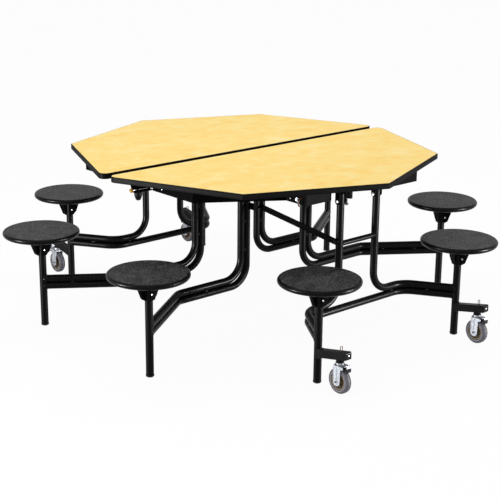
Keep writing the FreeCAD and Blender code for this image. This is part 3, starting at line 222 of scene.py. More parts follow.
def laminate_finish(colour):
    """Maple laminate: soft mottled clouds, a faint lengthwise figure and a brown backer sheet."""
    finish = Finish("maple_laminate")
    clouds = finish.noise(11.0, 6.0, distortion=0.5, roughness=0.62)
    figure = finish.noise(9.0, 5.0, where=finish.stretched(1.0, 2.4, 1.0), distortion=0.4)
    flecks = finish.noise(120.0, 3.0, where=finish.stretched(0.5, 2.2, 1.0))
    share = clouds * 0.62 + figure * 0.38
    red, green, blue = colour[:3]
    sheet = finish.ramp(share, [(0.36, (red * 0.99, green * 0.88, blue * 0.60)),
                                (0.46, (red, green * 0.96, blue * 0.86)), (0.53, (red, green, blue)),
                                (0.64, (red, green * 1.08, blue * 1.50))])
    sheet = finish.mixed((flecks > 0.60) * 0.16, sheet, (red * 0.92, green * 0.72, blue * 0.40, 1.0))
    facing = finish.node("ShaderNodeTexCoord", {}, {}, "Normal")
    upward = finish.node("ShaderNodeSeparateXYZ", {}, {"Vector": facing}, "Z")
    whole = finish.mixed(upward > 0.5, (0.10, 0.075, 0.05, 1.0), sheet)
    texture = finish.noise(700.0, 2.0)
    return finish.shade(Base_Color=whole, Roughness=0.42 + clouds * 0.12, Specular_IOR_Level=0.2,
                        Normal=finish.bump(texture, 0.0002, 0.25))


def powder_coat_finish(name, colour, roughness, gloss):
    """Black powder coat with a fine orange peel and a little handling haze; gloss sets its shine."""
    finish = Finish(name)
    haze = finish.noise(18.0, 4.0)
    peel = finish.noise(420.0, 2.0)
    tone = finish.mixed(haze, opaque(tinted(colour, 0.7)), opaque(tinted(colour, 1.35)))
    return finish.shade(Base_Color=tone, Roughness=roughness + haze * 0.08, Specular_IOR_Level=gloss,
                        Normal=finish.bump(peel, 0.0003, 0.2))


def bead_finish(colour):
    """Painted weld metal: rippled, and shinier than the tube beside it."""
    finish = Finish("painted_weld")
    ripple = finish.noise(300.0, 3.0)
    tone = finish.mixed(ripple, opaque(tinted(colour, 0.8)), opaque(tinted(colour, 2.2)))
    return finish.shade(Base_Color=tone, Roughness=0.22 + ripple * 0.15, Specular_IOR_Level=0.2,
                        Normal=finish.bump(ripple, 0.0012, 0.6))


def band_finish(colour):
    """Vinyl edge band: satin, with a fine drawn line."""
    finish = Finish("vinyl_band")
    drawn = finish.noise(40.0, 3.0, where=finish.stretched(1.0, 1.0, 40.0))
    scuffs = finish.noise(55.0, 5.0, roughness=0.7)
    tone = finish.mixed(scuffs, opaque(tinted(colour, 0.8)), opaque(tinted(colour, 1.5)))
    return finish.shade(Base_Color=tone, Roughness=0.42 + scuffs * 0.18, Specular_IOR_Level=0.025,
                        Normal=finish.bump(drawn, 0.0002, 0.2))


def pebble_finish(colour):
    """Moulded stool top: close leather-like pebbles, worn pale in places, with painted shade in the
    valleys between them.
    """
    finish = Finish("pebbled_plastic")
    pebbles = finish.cells(300.0)
    worn = finish.noise(120.0, 4.0, roughness=0.8)
    dust = finish.noise(22.0, 5.0, roughness=0.7)
    high = finish.ramp(worn * 0.72 + dust * 0.28, [(0.46, (0.0, 0.0, 0.0)), (0.56, (1.0, 1.0, 1.0))])
    tone = finish.mixed(high, opaque(tinted(colour, 0.05)), opaque(tinted(colour, 3.5)))
    # Darker towards the edge of each pebble: painted shade in the valleys between pebbles.
    tone = finish.mixed(pebbles * 0.5, tone, opaque(tinted(colour, 0.2)))
    return finish.shade(Base_Color=tone, Roughness=0.50 + dust * 0.14, Specular_IOR_Level=0.12,
                        Normal=finish.bump(1.0 - pebbles, 0.0008, 0.9))


def moulded_finish(name, colour, roughness, gloss=0.2):
    """Moulded plastic or rubber with flow marks and light handling wear."""
    finish = Finish(name)
    flow = finish.noise(26.0, 4.0, distortion=0.8)
    fine = finish.noise(650.0, 2.0)
    tone = finish.mixed(flow, opaque(tinted(colour, 0.75)), opaque(tinted(colour, 1.25)))
    return finish.shade(Base_Color=tone, Roughness=roughness + flow * 0.14, Specular_IOR_Level=gloss,
                        Normal=finish.bump(fine, 0.0003, 0.3))


def zinc_finish(name, colour, roughness, metal=1.0):
    """Plated or bare metal: soft spangle, fine scratches and a few dull patches."""
    finish = Finish(name)
    spangle = finish.cells(160.0, output="Color")
    spangle = finish.node("ShaderNodeSeparateColor", {}, {"Color": spangle}, "Red")
    patches = finish.noise(70.0, 4.0)
    scratches = finish.noise(90.0, 3.0, where=finish.stretched(1.0, 1.0, 22.0))
    tone = finish.mixed(spangle * 0.4 + patches * 0.6, opaque(tinted(colour, 0.78)),
                        opaque(tinted(colour, 1.1)))
    return finish.shade(Base_Color=tone, Metallic=metal,
                        Roughness=roughness + patches * 0.14 + spangle * 0.06,
                        Normal=finish.bump(scratches, 0.0003, 0.35))


def tyre_finish(name, colour):
    """Grey rubber with scuff marks."""
    finish = Finish(name)
    scuffs = finish.noise(140.0, 5.0, roughness=0.65)
    tone = finish.mixed(scuffs, opaque(tinted(colour, 0.7)), opaque(tinted(colour, 1.35)))
    return finish.shade(Base_Color=tone, Roughness=0.46 + scuffs * 0.2, Specular_IOR_Level=0.1,
                        Normal=finish.bump(scuffs, 0.0006, 0.5))


def stage_finish(colour):
    """Plain pale floor: white to the camera, with a soft trace of the table's shadow."""
    finish = Finish("pale_floor")
    cloud = finish.noise(0.6, 2.0)
    tone = finish.mixed(cloud, opaque(tinted(colour, 0.99)), opaque(colour))
    lit = finish.node("ShaderNodeBsdfDiffuse", {}, {"Color": tone})
    white = finish.node("ShaderNodeEmission", {}, {"Color": WHITE, "Strength": 1.0})
    share = finish.plain_rays() * 0.95
    return finish.done(finish.node("ShaderNodeMixShader", {}, {0: share, 1: lit, 2: white}))


# ------------------------------------------------------------------ shapes

class Shape:
    """Points and faces of one piece while it is being made."""

    def __init__(self):
        self.points = []
        self.faces = []
        self.finish_numbers = []

    def add(self, points, faces, place=None, finish=0):
        first = len(self.points)
        place = place or Matrix.Identity(4)
        self.points += [place @ Vector(point) for point in points]
        self.faces += [[first + number for number in face] for face in faces]
        self.finish_numbers += [finish] * len(faces)
        return self

    def turned(self, profile, place, steps, finish=0, closed=False):
        """Turn (radius, height) pairs about the local Z axis; closed joins the last to the first."""
        points = []
        for step in range(steps):
            angle = 2 * math.pi * step / steps
            points += [(r * math.cos(angle), r * math.sin(angle), z) for r, z in profile]
        count = len(profile)
        spans = count if closed else count - 1
        faces = []
        for step in range(steps):
            here = step * count
            there = (step + 1) % steps * count
            for low in range(spans):
                high = (low + 1) % count
                faces.append([here + low, there + low, there + high, here + high])
        return self.add(points, faces, place, finish)

    def swept(self, path, radii, place=None, steps=8, closed=False):
        """A round bar along a path; radii is one number or one for each point."""
        path = [Vector(point) for point in path]
        if not isinstance(radii, (list, tuple)):
            radii = [radii] * len(path)
        points = []
        across = None
        for number, centre in enumerate(path):
            before = path[number - 1] if number or closed else centre
            after = path[(number + 1) % len(path)] if number + 1 < len(path) or closed else centre
            along = (after - before).normalized()
            if across is None:
                across = along.orthogonal().normalized()
            across = (across - along * across.dot(along)).normalized()
            other = along.cross(across)
            for step in range(steps):
                angle = 2 * math.pi * step / steps
                offset = across * math.cos(angle) + other * math.sin(angle)
                points.append(centre + offset * radii[number])
        faces = []
        rings = len(path) if closed else len(path) - 1
        for number in range(rings):
            here = number * steps
            there = (number + 1) % len(path) * steps
            for step in range(steps):
                ahead = (step + 1) % steps
                faces.append([here + step, here + ahead, there + ahead, there + step])
        if not closed:
            faces.append(list(range(steps)))
            faces.append([len(points) - 1 - step for step in range(steps)])
        return self.add(points, faces, place)

    def plate(self, outline, low, high, place, finish=0):
        """A flat plate: its outline in local X and Y, between two heights."""
        count = len(outline)
        points = [(x, y, low) for x, y in outline] + [(x, y, high) for x, y in outline]
        faces = [list(range(count)), list(range(count, 2 * count))]
        for number in range(count):
            ahead = (number + 1) % count
            faces.append([number, ahead, count + ahead, count + number])
        return self.add(points, faces, place, finish)

    def piece(self, name, body, slot, materials, sharp=35.0, replaces=()):
        """Make the object, smooth it by angle and hang it on its body."""
        mesh = bpy.data.meshes.new(name)
        mesh.from_pydata([tuple(point) for point in self.points], [], self.faces)
        for material in materials:
            mesh.materials.append(material)
        mesh.polygons.foreach_set("material_index", self.finish_numbers)
        work = bmesh.new()
        work.from_mesh(mesh)
        bmesh.ops.remove_doubles(work, verts=work.verts, dist=1e-6)
        bmesh.ops.recalc_face_normals(work, faces=work.faces)
        work.to_mesh(mesh)
        work.free()
        mesh.shade_smooth()
        mesh.set_sharp_from_angle(angle=math.radians(sharp))
        made = bpy.data.objects.new(name, mesh)
        bpy.context.scene.collection.objects.link(made)
        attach(made, body)
        if replaces:
            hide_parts(*replaces)
        return made


def moved(x=0.0, y=0.0, z=0.0, turn=0.0):
    """A place moved, and turned about its own upright axis."""
    return Matrix.Translation((x, y, z)) @ Matrix.Rotation(turn, 4, "Z")


def about_middle(end):
    """Place of one half of the table: the back half is turned about the middle."""
    return Matrix.Rotation(ENDS[end], 4, "Z")


def facing(point, direction):
    """A place whose local Z axis points along a direction."""
    turn = Vector(direction).to_track_quat("Z", "Y").to_matrix().to_4x4()
    return Matrix.Translation(point) @ turn


def middle_of(node):
    low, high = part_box(node)
    return (low + high) / 2


def arc(centre_x, centre_y, radius, start, finish, steps):
    """Points of an arc, angles in degrees."""
    angles = [math.radians(start + (finish - start) * step / steps) for step in range(steps + 1)]
    return [(centre_x + radius * math.cos(angle), centre_y + radius * math.sin(angle))
            for angle in angles]


def hexagon(radius):
    return arc(0, 0, radius, 0, 300, 5)


def scaled(pairs):
    """Millimetre pairs in metres."""
    return [(x * MM, y * MM) for x, y in pairs]


def quarter(point, x_sign, y_sign):
    """A plan point, given for the +X +Y quarter, carried to another quarter of the table."""
    return Vector((x_sign * point[0], y_sign * point[1], 0))


def pan_screw(shape, place, radius=4.2 * MM, height=2.4 * MM):
    """A pan head standing on the local XY plane; its cross recess takes the second finish, a painted
    shade.
    """
    dome = [(0, height * 0.82), (radius * 0.30, height * 0.82), (radius * 0.34, height * 0.99),
            (radius * 0.62, height * 0.86), (radius * 0.88, height * 0.52), (radius, height * 0.18),
            (radius, -0.2 * MM)]
    shape.turned(dome, place, 28)
    bar = [(-radius * 0.5, -radius * 0.11), (radius * 0.5, -radius * 0.11),
           (radius * 0.5, radius * 0.11), (-radius * 0.5, radius * 0.11)]
    # The cross recess, drawn in the second finish as painted shade.
    for turn in (0, math.pi / 2):
        shape.plate(bar, height * 0.80, height * 0.93, place @ moved(turn=turn), 1)


def hex_bolt(shape, place, radius, height):
    """A hexagon head over a washer, crowned at the top."""
    washer = 1.1 * MM
    crown = height + 0.9 * MM
    shape.turned([(0, 0), (radius * 1.25, 0), (radius * 1.25, washer), (0, washer)], place, 32)
    shape.plate(hexagon(radius), washer, height, place)
    shape.turned([(radius * 0.86, height), (radius * 0.72, crown), (0, crown)], place, 24)


# ------------------------------------------------------------------ settings

def colour_setting(name, description, default):
    return bpy.props.FloatVectorProperty(name=name, description=description, subtype="COLOR",
                                         size=3, min=0.0, max=1.0, default=default)


def length_setting(name, description, default, low, high):
    return bpy.props.FloatProperty(name=name, description=description, subtype="DISTANCE",
                                   unit="LENGTH", default=default, min=low, max=high)


class TableColours(bpy.types.PropertyGroup):
    """Colours a buyer would choose."""

    laminate: colour_setting("Laminate", "Top sheet of the board", (0.90, 0.665, 0.20))
    band: colour_setting("Edge band", "Vinyl band round each half", (0.003, 0.003, 0.0034))
    frame: colour_setting("Frame", "Powder coat of tubes, apron and rails", (0.002, 0.002, 0.0022))
    stool: colour_setting("Stools", "Moulded stool discs", (0.0245, 0.0245, 0.0255))
    tyre: colour_setting("Tyres", "Rubber of the caster tyres", (0.125, 0.12, 0.14))
    core: colour_setting("Wheel cores", "Moulded cores of the caster wheels", (0.34, 0.25, 0.12))
    knob: colour_setting("Latch knob", "Ball of the latch rod", (0.72, 0.36, 0.05))
    ring: colour_setting("Tie rings", "Wire loops on the caster arms", (0.15, 0.06, 0.035))
    floor: colour_setting("Floor", "Studio floor", (0.93, 0.93, 0.93))


class TableDetails(bpy.types.PropertyGroup):
    """Small sizes a maker would change."""

    weld_radius: length_setting("Weld bead", "Radius of the beads between tubes", 0.0026, 0.001, 0.004)
    weld_pitch: length_setting("Weld pitch", "Distance between beads along a leg", 0.105, 0.04, 0.3)
    band_ridge: length_setting("Band ridge", "Depth of the ridges of the edge band", 0.0005, 0.0, 0.0015)
    stool_dish: length_setting("Stool dish", "Hollow at the middle of a stool", 0.0012, 0.0, 0.004)
    tread_groove: length_setting("Tread groove", "Depth of the tyre's grooves", 0.0012, 0.0, 0.003)


FINISHES = {}


def paint(name):
    return FINISHES[name]


# ------------------------------------------------------------------ pieces

class STOOLTABLE_OT_finishes(bpy.types.Operator):
    """Make the finishes and give each solid of the frame its own"""

    bl_idname = "stool_table.finishes"
    bl_label = "Finishes"

    def execute(self, context):
        colours = context.scene.stool_table_colours
        FINISHES.update({
            "laminate": laminate_finish(colours.laminate),
            "frame": powder_coat_finish("black_powder_coat", colours.frame, 0.31, 0.052),
            "plate": powder_coat_finish("satin_black_sheet", colours.frame, 0.44, 0.01),
            "weld": bead_finish(colours.frame),
            "band": band_finish(colours.band),
            "pebble": pebble_finish(colours.stool),
            "stool_rim": moulded_finish("stool_rim_plastic", tinted(colours.stool, 0.08), 0.24, 0.06),
            "cap": moulded_finish("black_cap_plastic", (0.004, 0.004, 0.0044), 0.30, 0.1),
            "bumper": moulded_finish("black_bumper_rubber", (0.005, 0.005, 0.0055), 0.42, 0.06),
            "core": moulded_finish("tan_core_plastic", colours.core, 0.28),
            # The core colour made 0.28 times as dark: painted shade over the core's recessed web, with the
            # tan left on the rim rings.
            "core_web_shade": moulded_finish("core_web_painted_shade", tinted(colours.core, 0.28), 0.34),
            # The tyre grey made 2.3 times lighter: a painted highlight on the tread, also used for a pale
            # ring on each sidewall.
            "tread_highlight": tyre_finish("painted_tread_highlight", tinted(colours.tyre, 2.3)),
            "knob": moulded_finish("amber_knob_plastic", colours.knob, 0.14),
            "tyre": tyre_finish("grey_rubber", colours.tyre),
            "zinc": zinc_finish("bright_zinc", (0.46, 0.48, 0.52), 0.30),
            "fork": zinc_finish("zinc_fork", (0.40, 0.42, 0.46), 0.26, 0.34),
            "oxide": zinc_finish("black_oxide_steel", (0.03, 0.03, 0.032), 0.34),
            "steel": zinc_finish("dull_steel", (0.30, 0.31, 0.33), 0.30),
            "rod": zinc_finish("polished_rod", (0.95, 0.95, 0.96), 0.05),
            "ring": moulded_finish("brown_ring_coating", colours.ring, 0.26),
            # Near black for the cross recesses of screw heads: painted shade in the recess.
            "recess_shade": moulded_finish("painted_recess_shade", (0.02, 0.02, 0.02), 0.5),
        })
        # Of these words in a node's name the last one listed decides; a node with none is "frame".
        chosen = {
            "table_top": "laminate", "edge_band": "band", "seat_": "stool_rim", "tyre": "tyre",
            "wheel_core": "core", "caster_fork": "fork", "brake_pedal": "cap", "foot_caps": "cap",
            "latch_rod": "zinc", "latch_cup": "bumper", "tie_rings": "ring", "hinge_pins": "steel",
            "hanger_pins": "steel", "stop_screw": "oxide", "seat_brackets": "plate", "apron": "plate",
            "latch_bracket": "plate", "top_frame": "plate", "link_bar": "plate",
        }
        for node, item in frame["nodes"].items():
            names = [finish for part, finish in chosen.items() if part in node]
            item.data.materials.clear()
            item.data.materials.append(paint(names[-1] if names else "frame"))
        return {"FINISHED"}


def outward_of(inward, along):
    """The normal of an edge that points out of the board."""
    normal = Vector((along.y, -along.x))
    return normal if normal.dot(inward) < 0 else -normal


def band_path(end):
    """Edge of one board in plan as (point, outward direction), corners rounded."""
    low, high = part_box(f"edge_band_{end}")
    thickness = 3.0 * MM
    seam = -17.0 * MM - thickness
    apothem = 743.4 * MM
    corner = apothem / math.cos(math.radians(22.5))
    slant = corner * math.sqrt(0.5)
    corners = [Vector((corner, seam)), Vector((-corner, seam)), Vector((-slant, seam - slant)),
               Vector((0, seam - corner)), Vector((slant, seam - slant))]
    seam_round = 25 * MM
    outer_round = 6 * MM
    radii = [seam_round, seam_round, outer_round, outer_round, outer_round]
    steps = 12
    path = []
    for number, (point, radius) in enumerate(zip(corners, radii)):
        back = (corners[number - 1] - point).normalized()
        ahead = (corners[(number + 1) % len(corners)] - point).normalized()
        inward = (back + ahead).normalized()
        half = math.acos(back.dot(ahead)) / 2
        centre = point + inward * (radius / math.sin(half))
        first = outward_of(inward, back)
        last = outward_of(inward, ahead)
        for step in range(steps + 1):
            outward = first.slerp(last, step / steps)
            path.append((centre + outward * radius, outward))
    return path, low.z, high.z


class STOOLTABLE_OT_edge_bands(bpy.types.Operator):
    """Mould the ridged vinyl band round each half"""

    bl_idname = "stool_table.edge_bands"
    bl_label = "Edge bands"

    def execute(self, context):
        ridge = context.scene.stool_table_details.band_ridge / MM
        profile = [(0, 0), (1.5, 0), (2.3, 0.5), (2.8, 1.4), (3.0, 3.0), (3.0, 4.4),
                   (3.0 - ridge, 4.9), (3.0 - ridge, 5.5), (3.0, 6.0), (3.0, 12.0), (3.0, 18.0),
                   (3.0 - ridge, 18.5), (3.0 - ridge, 19.1), (3.0, 19.6), (3.0, 21.0),
                   (2.8, 22.6), (2.3, 23.5), (1.5, 24.0), (0, 24.0)]
        height = 24.0 * MM
        count = len(profile)
        for end in ENDS:
            path, low, high = band_path(end)
            points = []
            for point, outward in path:
                points += [(point.x + outward.x * out * MM, point.y + outward.y * out * MM,
                            low + rise * MM * (high - low) / height) for out, rise in profile]
            faces = []
            for number in range(len(path)):
                ahead = (number + 1) % len(path)
                for low_row in range(count):
                    high_row = (low_row + 1) % count
                    faces.append([number * count + low_row, ahead * count + low_row,
                                  ahead * count + high_row, number * count + high_row])
            shape = Shape().add(points, faces, about_middle(end))
            shape.piece(f"ridged_band_{end}", f"{end}_half", "band", [paint("band")], 30.0,
                        [f"edge_band_{end}"])
        return {"FINISHED"}


class STOOLTABLE_OT_stools(bpy.types.Operator):
    """Mould the stool discs: pebbled top, smooth rolled rim, ribbed underside"""

    bl_idname = "stool_table.stools"
    bl_label = "Stools"

    def execute(self, context):
        dish = context.scene.stool_table_details.stool_dish / MM
        top = [(0, 28 - dish), (60, 28 - dish * 0.84), (110, 28 - dish * 0.45), (138, 28 - dish * 0.1),
               (152, 28), (154.2, 27.9)]
        rim = [(154.2, 27.9), (154.8, 27.6), (155.5, 28)] + arc(155.5, 19, 9, 90, 0, 12)[1:]
        rim += arc(150.5, 19, 14, 0, -90, 14)[1:]
        rim += [(148.5, 5.4), (148.5, 11), (147, 12), (80, 12), (80, 1.2), (78.8, 0), (10.1, 0),
                (10.1, 15), (0, 15)]
        rib = scaled([(79, -1.4), (149, -1.4), (149, 1.4), (79, 1.4)])
        for node in frame["nodes"]:
            if not node.startswith("seat_"):
                continue
            low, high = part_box(node)
            place = moved((low.x + high.x) / 2, (low.y + high.y) / 2, low.z)
            shape = Shape()
            shape.turned(scaled(top), place, 96, 0)
            shape.turned(scaled(rim), place, 96, 1)
            for number in range(12):
                shape.plate(rib, 6 * MM, 12.2 * MM, place @ moved(turn=number * math.pi / 6), 1)
            name = node.removeprefix("seat_")
            shape.piece(f"stool_{name}", node, "seat", [paint("pebble"), paint("stool_rim")], 40.0,
                        [node])
        return {"FINISHED"}


def saddle_bead(shape, post, direction, height, radius, tube=TUBE_RADIUS, wall=16.0 * MM):
    """Weld bead where a level tube runs into an upright post, whose radius is given as wall."""
    along = Vector(direction).normalized()
    across = Vector((-along.y, along.x, 0))
    steps = 72
    path = []
    radii = []
    for step in range(steps):
        angle = 2 * math.pi * step / steps
        side = tube * math.cos(angle)
        reach = math.sqrt(max(wall * wall - side * side, 0)) + radius * 0.35
        path.append(post + along * reach + across * side * 1.02
                    + Vector((0, 0, height + tube * 1.02 * math.sin(angle))))
        radii.append(radius * (0.85 + 0.22 * math.sin(step * 2 * math.pi / 3)))
    shape.swept(path, radii, closed=True)


def groove_bead(shape, middle, along, side, radius):
    """Short bead in the groove between two stacked tubes, on one side."""
    length = 17 * MM
    offset = 9.2 * MM
    steps = 8
    path = []
    radii = []
    for step in range(steps + 1):
        share = step / steps * 2 - 1
        path.append(Vector(middle) + Vector(along) * share * length / 2 + Vector(side) * offset)
        radii.append(radius * (1 - share ** 4) * (0.92 + 0.1 * math.cos(step * math.pi)) + 0.3 * MM)
    shape.swept(path, radii, steps=10)


def stacked_beads(shape, start, finish, radius, pitch):
    """Beads on both sides of a straight run of stacked tubes, between two plan points."""
    start = Vector((start.x, start.y, GROOVE_HEIGHT))
    finish = Vector((finish.x, finish.y, GROOVE_HEIGHT))
    run = finish - start
    along = run.normalized()
    side = Vector((-along.y, along.x, 0))
    count = max(1, int(run.length / pitch))
    for number in range(count):
        middle = start + run * ((number + 0.5) / count)
        for sign in (-1, 1):
            groove_bead(shape, middle, along, side * sign, radius)


class STOOLTABLE_OT_welds(bpy.types.Operator):
    """Lay the weld beads of the legs and the outer frames"""

    bl_idname = "stool_table.welds"
    bl_label = "Welds"

    def execute(self, context):
        details = context.scene.stool_table_details
        radius = details.weld_radius
        pitch = details.weld_pitch
        collar_radius = 16.4 * MM
        legs = Shape()
        for x_sign in (-1, 1):
            for y_sign in (-1, 1):
                post = quarter(INNER_POST, x_sign, y_sign)
                knee = quarter(INNER_KNEE, x_sign, y_sign)
                inward = (knee - post).normalized()
                for height in BEAM_HEIGHTS:
                    saddle_bead(legs, post, inward, height, radius * 0.75)
                stacked_beads(legs, post + inward * 0.05, knee - inward * 0.03, radius, pitch)
                run = [quarter((x, INNER_KNEE[1]), x_sign, y_sign) for x in (0.50, 0.31)]
                stacked_beads(legs, *run, radius, pitch)
                for level in (0.34, 0.47, 0.60):
                    middle = (x_sign * sum(UPRIGHTS) / 2, y_sign * INNER_KNEE[1], level)
                    for side in (-1, 1):
                        groove_bead(legs, middle, (0, 0, 1), (0, side, 0), radius)
                for x in UPRIGHTS:
                    collar = [(x_sign * x + collar_radius * math.cos(step * math.pi / 18),
                               y_sign * INNER_KNEE[1] + collar_radius * math.sin(step * math.pi / 18),
                               COLLAR_HEIGHT) for step in range(36)]
                    legs.swept(collar, radius * 0.7, closed=True)
        legs.piece("welds_centre", "centre_frame", "frame_paint", [paint("weld")], 60.0)
        for end in ENDS:
            beads = Shape()
            for x_sign in (-1, 1):
                post = quarter(OUTER_POST, x_sign, -1)
                knee = quarter(OUTER_KNEE, x_sign, -1)
                inward = (knee - post).normalized()
                for height in BEAM_HEIGHTS:
                    saddle_bead(beads, post, inward, height, radius * 0.75)
                stacked_beads(beads, post + inward * 0.045, knee - inward * 0.035, radius, pitch * 0.8)
                for side in (-1, 1):
                    groove_bead(beads, (x_sign * 0.215, knee.y, GROOVE_HEIGHT), (1, 0, 0),
                                (0, side, 0), radius)
                upright = quarter((0.106, OUTER_KNEE[1]), x_sign, -1)
                saddle_bead(beads, upright, (-x_sign, 0, 0), 0.465, radius * 0.6, 11 * MM, TUBE_RADIUS)
                reach = 14 * MM
                for arm_face in (0.1492, 0.1160):
                    beads.swept([(post.x - reach, -0.8775, arm_face), (post.x, -0.8785, arm_face),
                                 (post.x + reach, -0.8775, arm_face)], radius * 0.8)
            turned = Shape().add(beads.points, beads.faces, about_middle(end))
            turned.piece(f"welds_{end}", f"{end}_outer_frame", "frame_paint", [paint("weld")], 60.0)
        return {"FINISHED"}


class STOOLTABLE_OT_fasteners(bpy.types.Operator):
    """Drive the screws of the aprons, rails, arms and stool brackets; add bolts and hooks"""

    bl_idname = "stool_table.fasteners"
    bl_label = "Fasteners"

    def execute(self, context):
        # Zinc heads, with painted shade in their cross recesses.
        metals = [paint("zinc"), paint("recess_shade")]
        flange = [(-589, -90), (-589, -200), (-589, -300), (-440, -410), (-340, -476), (589, -90),
                  (589, -240), (589, -400), (480, -545), (300, -631), (200, -631), (-200, -631)]
        # Screws of one half in millimetres: radius, direction of the head, places.
        half_screws = (
            (4.2, (-1, 0, 0), [(-598, -115, 667)]),
            (4.2, (1, 0, 0), [(598, -115, 667)]),
            (4.2, (0, -1, 0), [(x, -640, 694) for x in (-220, 160, 300)]),
            (3.4, (-1, 0, 0), [(-280, -546, 664), (-280, -540, 690)]),
            (4.0, (0, 0, -1), [(x, y, 711) for x, y in flange]),
            (4.4, (0, 0, -1), [(x, y, 695) for x in (-245, 245) for y in (-90, -330, -500, -590)]))
        for end in ENDS:
            half = about_middle(end)
            screws = Shape()
            for radius, outward, places in half_screws:
                for place in places:
                    pan_screw(screws, half @ facing(Vector(place) * MM, outward), radius * MM)
            screws.piece(f"screws_{end}", f"{end}_half", "zinc", metals, 30.0)
            bolts = Shape()
            hex_bolt(bolts, half @ facing((-0.280, -0.586, 0.667), (-1, 0, 0)), 6.2 * MM, 5.2 * MM)
            bolts.piece(f"end_bolt_{end}", f"{end}_half", "zinc", [paint("zinc")], 30.0)
            hook = Shape()
            bend = [(-0.290, -0.614, 0.646)]
            for step in range(1, 12):
                angle = math.radians(step * 15)
                bend.append((-0.290 - 0.010 * math.sin(angle), -0.614, 0.662 - 0.016 * math.cos(angle)))
            bend.append((-0.278, -0.614, 0.679))
            hook.swept(bend, 3.2 * MM, half, 14)
            hook.piece(f"end_hook_{end}", f"{end}_half", "ring_wire", [paint("ring")], 50.0)
            ends = Shape()
            for hand in HANDS.values():
                spot = (hand * CASTER_AXIS[0], -1.028, 0.1646)
                pan_screw(ends, half @ facing(spot, (0, -1, 0)), 3.8 * MM, 2.0 * MM)
            ends.piece(f"arm_end_screws_{end}", f"{end}_outer_frame", "zinc", metals, 30.0)
        brackets = {"centre_frame": (INNER_POST, (-1, 1)), "front_outer_frame": (OUTER_POST, (-1,)),
                    "back_outer_frame": (OUTER_POST, (1,))}
        plate_half = 2.5 * MM
        reach = 25 * MM
        for body, (post, y_signs) in brackets.items():
            sides = Shape()
            for middle in [quarter(post, x_sign, y_sign) for x_sign in (-1, 1) for y_sign in y_signs]:
                for side in (-1, 1):
                    spot = (middle.x + side * plate_half, middle.y + side * reach, 0.350)
                    pan_screw(sides, facing(spot, (side, 0, 0)), 5.2 * MM, 3.4 * MM)
            sides.piece(f"stool_screws_{body}", body, "zinc", metals, 30.0)
        return {"FINISHED"}


class STOOLTABLE_OT_stop_threads(bpy.types.Operator):
    """Cut the thread of each stop screw and run its nut on"""

    bl_idname = "stool_table.stop_threads"
    bl_label = "Stop threads"

    def execute(self, context):
        for end in ENDS:
            low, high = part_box(f"stop_screw_{end}")
            middle = (low + high) / 2
            thread = Shape()
            turns = 17
            steps = 16
            pitch = 1.4
            radius = 3.95 * MM
            lowest = low.z + 6.5 * MM
            path = []
            for step in range(steps * turns + 1):
                angle = 2 * math.pi * step / steps
                path.append((middle.x + radius * math.cos(angle), middle.y + radius * math.sin(angle),
                             lowest + step / steps * pitch * MM))
            thread.swept(path, 0.42 * MM, steps=6)
            nut = moved(middle.x, middle.y, 0.6295)
            thread.plate(hexagon(7.2 * MM), 0, 6 * MM, nut)
            thread.piece(f"stop_thread_{end}", f"{end}_half", "zinc", [paint("oxide")], 30.0)
        return {"FINISHED"}


class STOOLTABLE_OT_latches(bpy.types.Operator):
    """Dress the pull rod latches: amber ball, bright rod, screws"""

    bl_idname = "stool_table.latches"
    bl_label = "Latches"

    def execute(self, context):
        for end in ENDS:
            half = about_middle(end)
            knob = Shape()
            radius = 9.0 * MM
            ball = [(radius * math.sin(math.radians(angle)), radius * math.cos(math.radians(angle)))
                    for angle in range(0, 181, 6)]
            knob.turned(ball, half @ facing((-0.70205, LATCH_Y, LATCH_Z), (-1, 0, 0)), 48)
            rod = Shape()
            line = [(-0.696, LATCH_Y, LATCH_Z)]
            line += [(x, LATCH_Y, z) for x, z in scaled(arc(-581.05, 659, 6, 90, 0, 8))]
            line += [(-0.57505, LATCH_Y, 0.649)]
            rod.swept(line, 3.0 * MM, half, 20)
            rod.turned([(0, 0), (4.6 * MM, 0), (4.6 * MM, 3 * MM), (0, 3 * MM)],
                       half @ facing((-0.6925, LATCH_Y, LATCH_Z), (1, 0, 0)), 24)
            knob.piece(f"latch_ball_{end}", f"{end}_latch", "latch_rod", [paint("knob")], 60.0,
                       [f"latch_rod_{end}"])
            rod.piece(f"latch_pull_{end}", f"{end}_latch", "latch_rod", [paint("rod")], 40.0)
            screws = Shape()
            for x in (-654, -622):
                pan_screw(screws, half @ facing((x * MM, -0.036, 0.693), (0, -1, 0)), 4.0 * MM)
            screws.piece(f"latch_screws_{end}", f"{end}_half", "zinc", [paint("zinc"), paint("recess_shade")])
        return {"FINISHED"}


def caster_place(end, hand):
    """Place of a caster: local origin on its swivel axis at the floor, outward is -Y."""
    y_sign = -1 if end == "front" else 1
    return moved(*quarter(CASTER_AXIS, HANDS[hand], y_sign), ENDS[end])


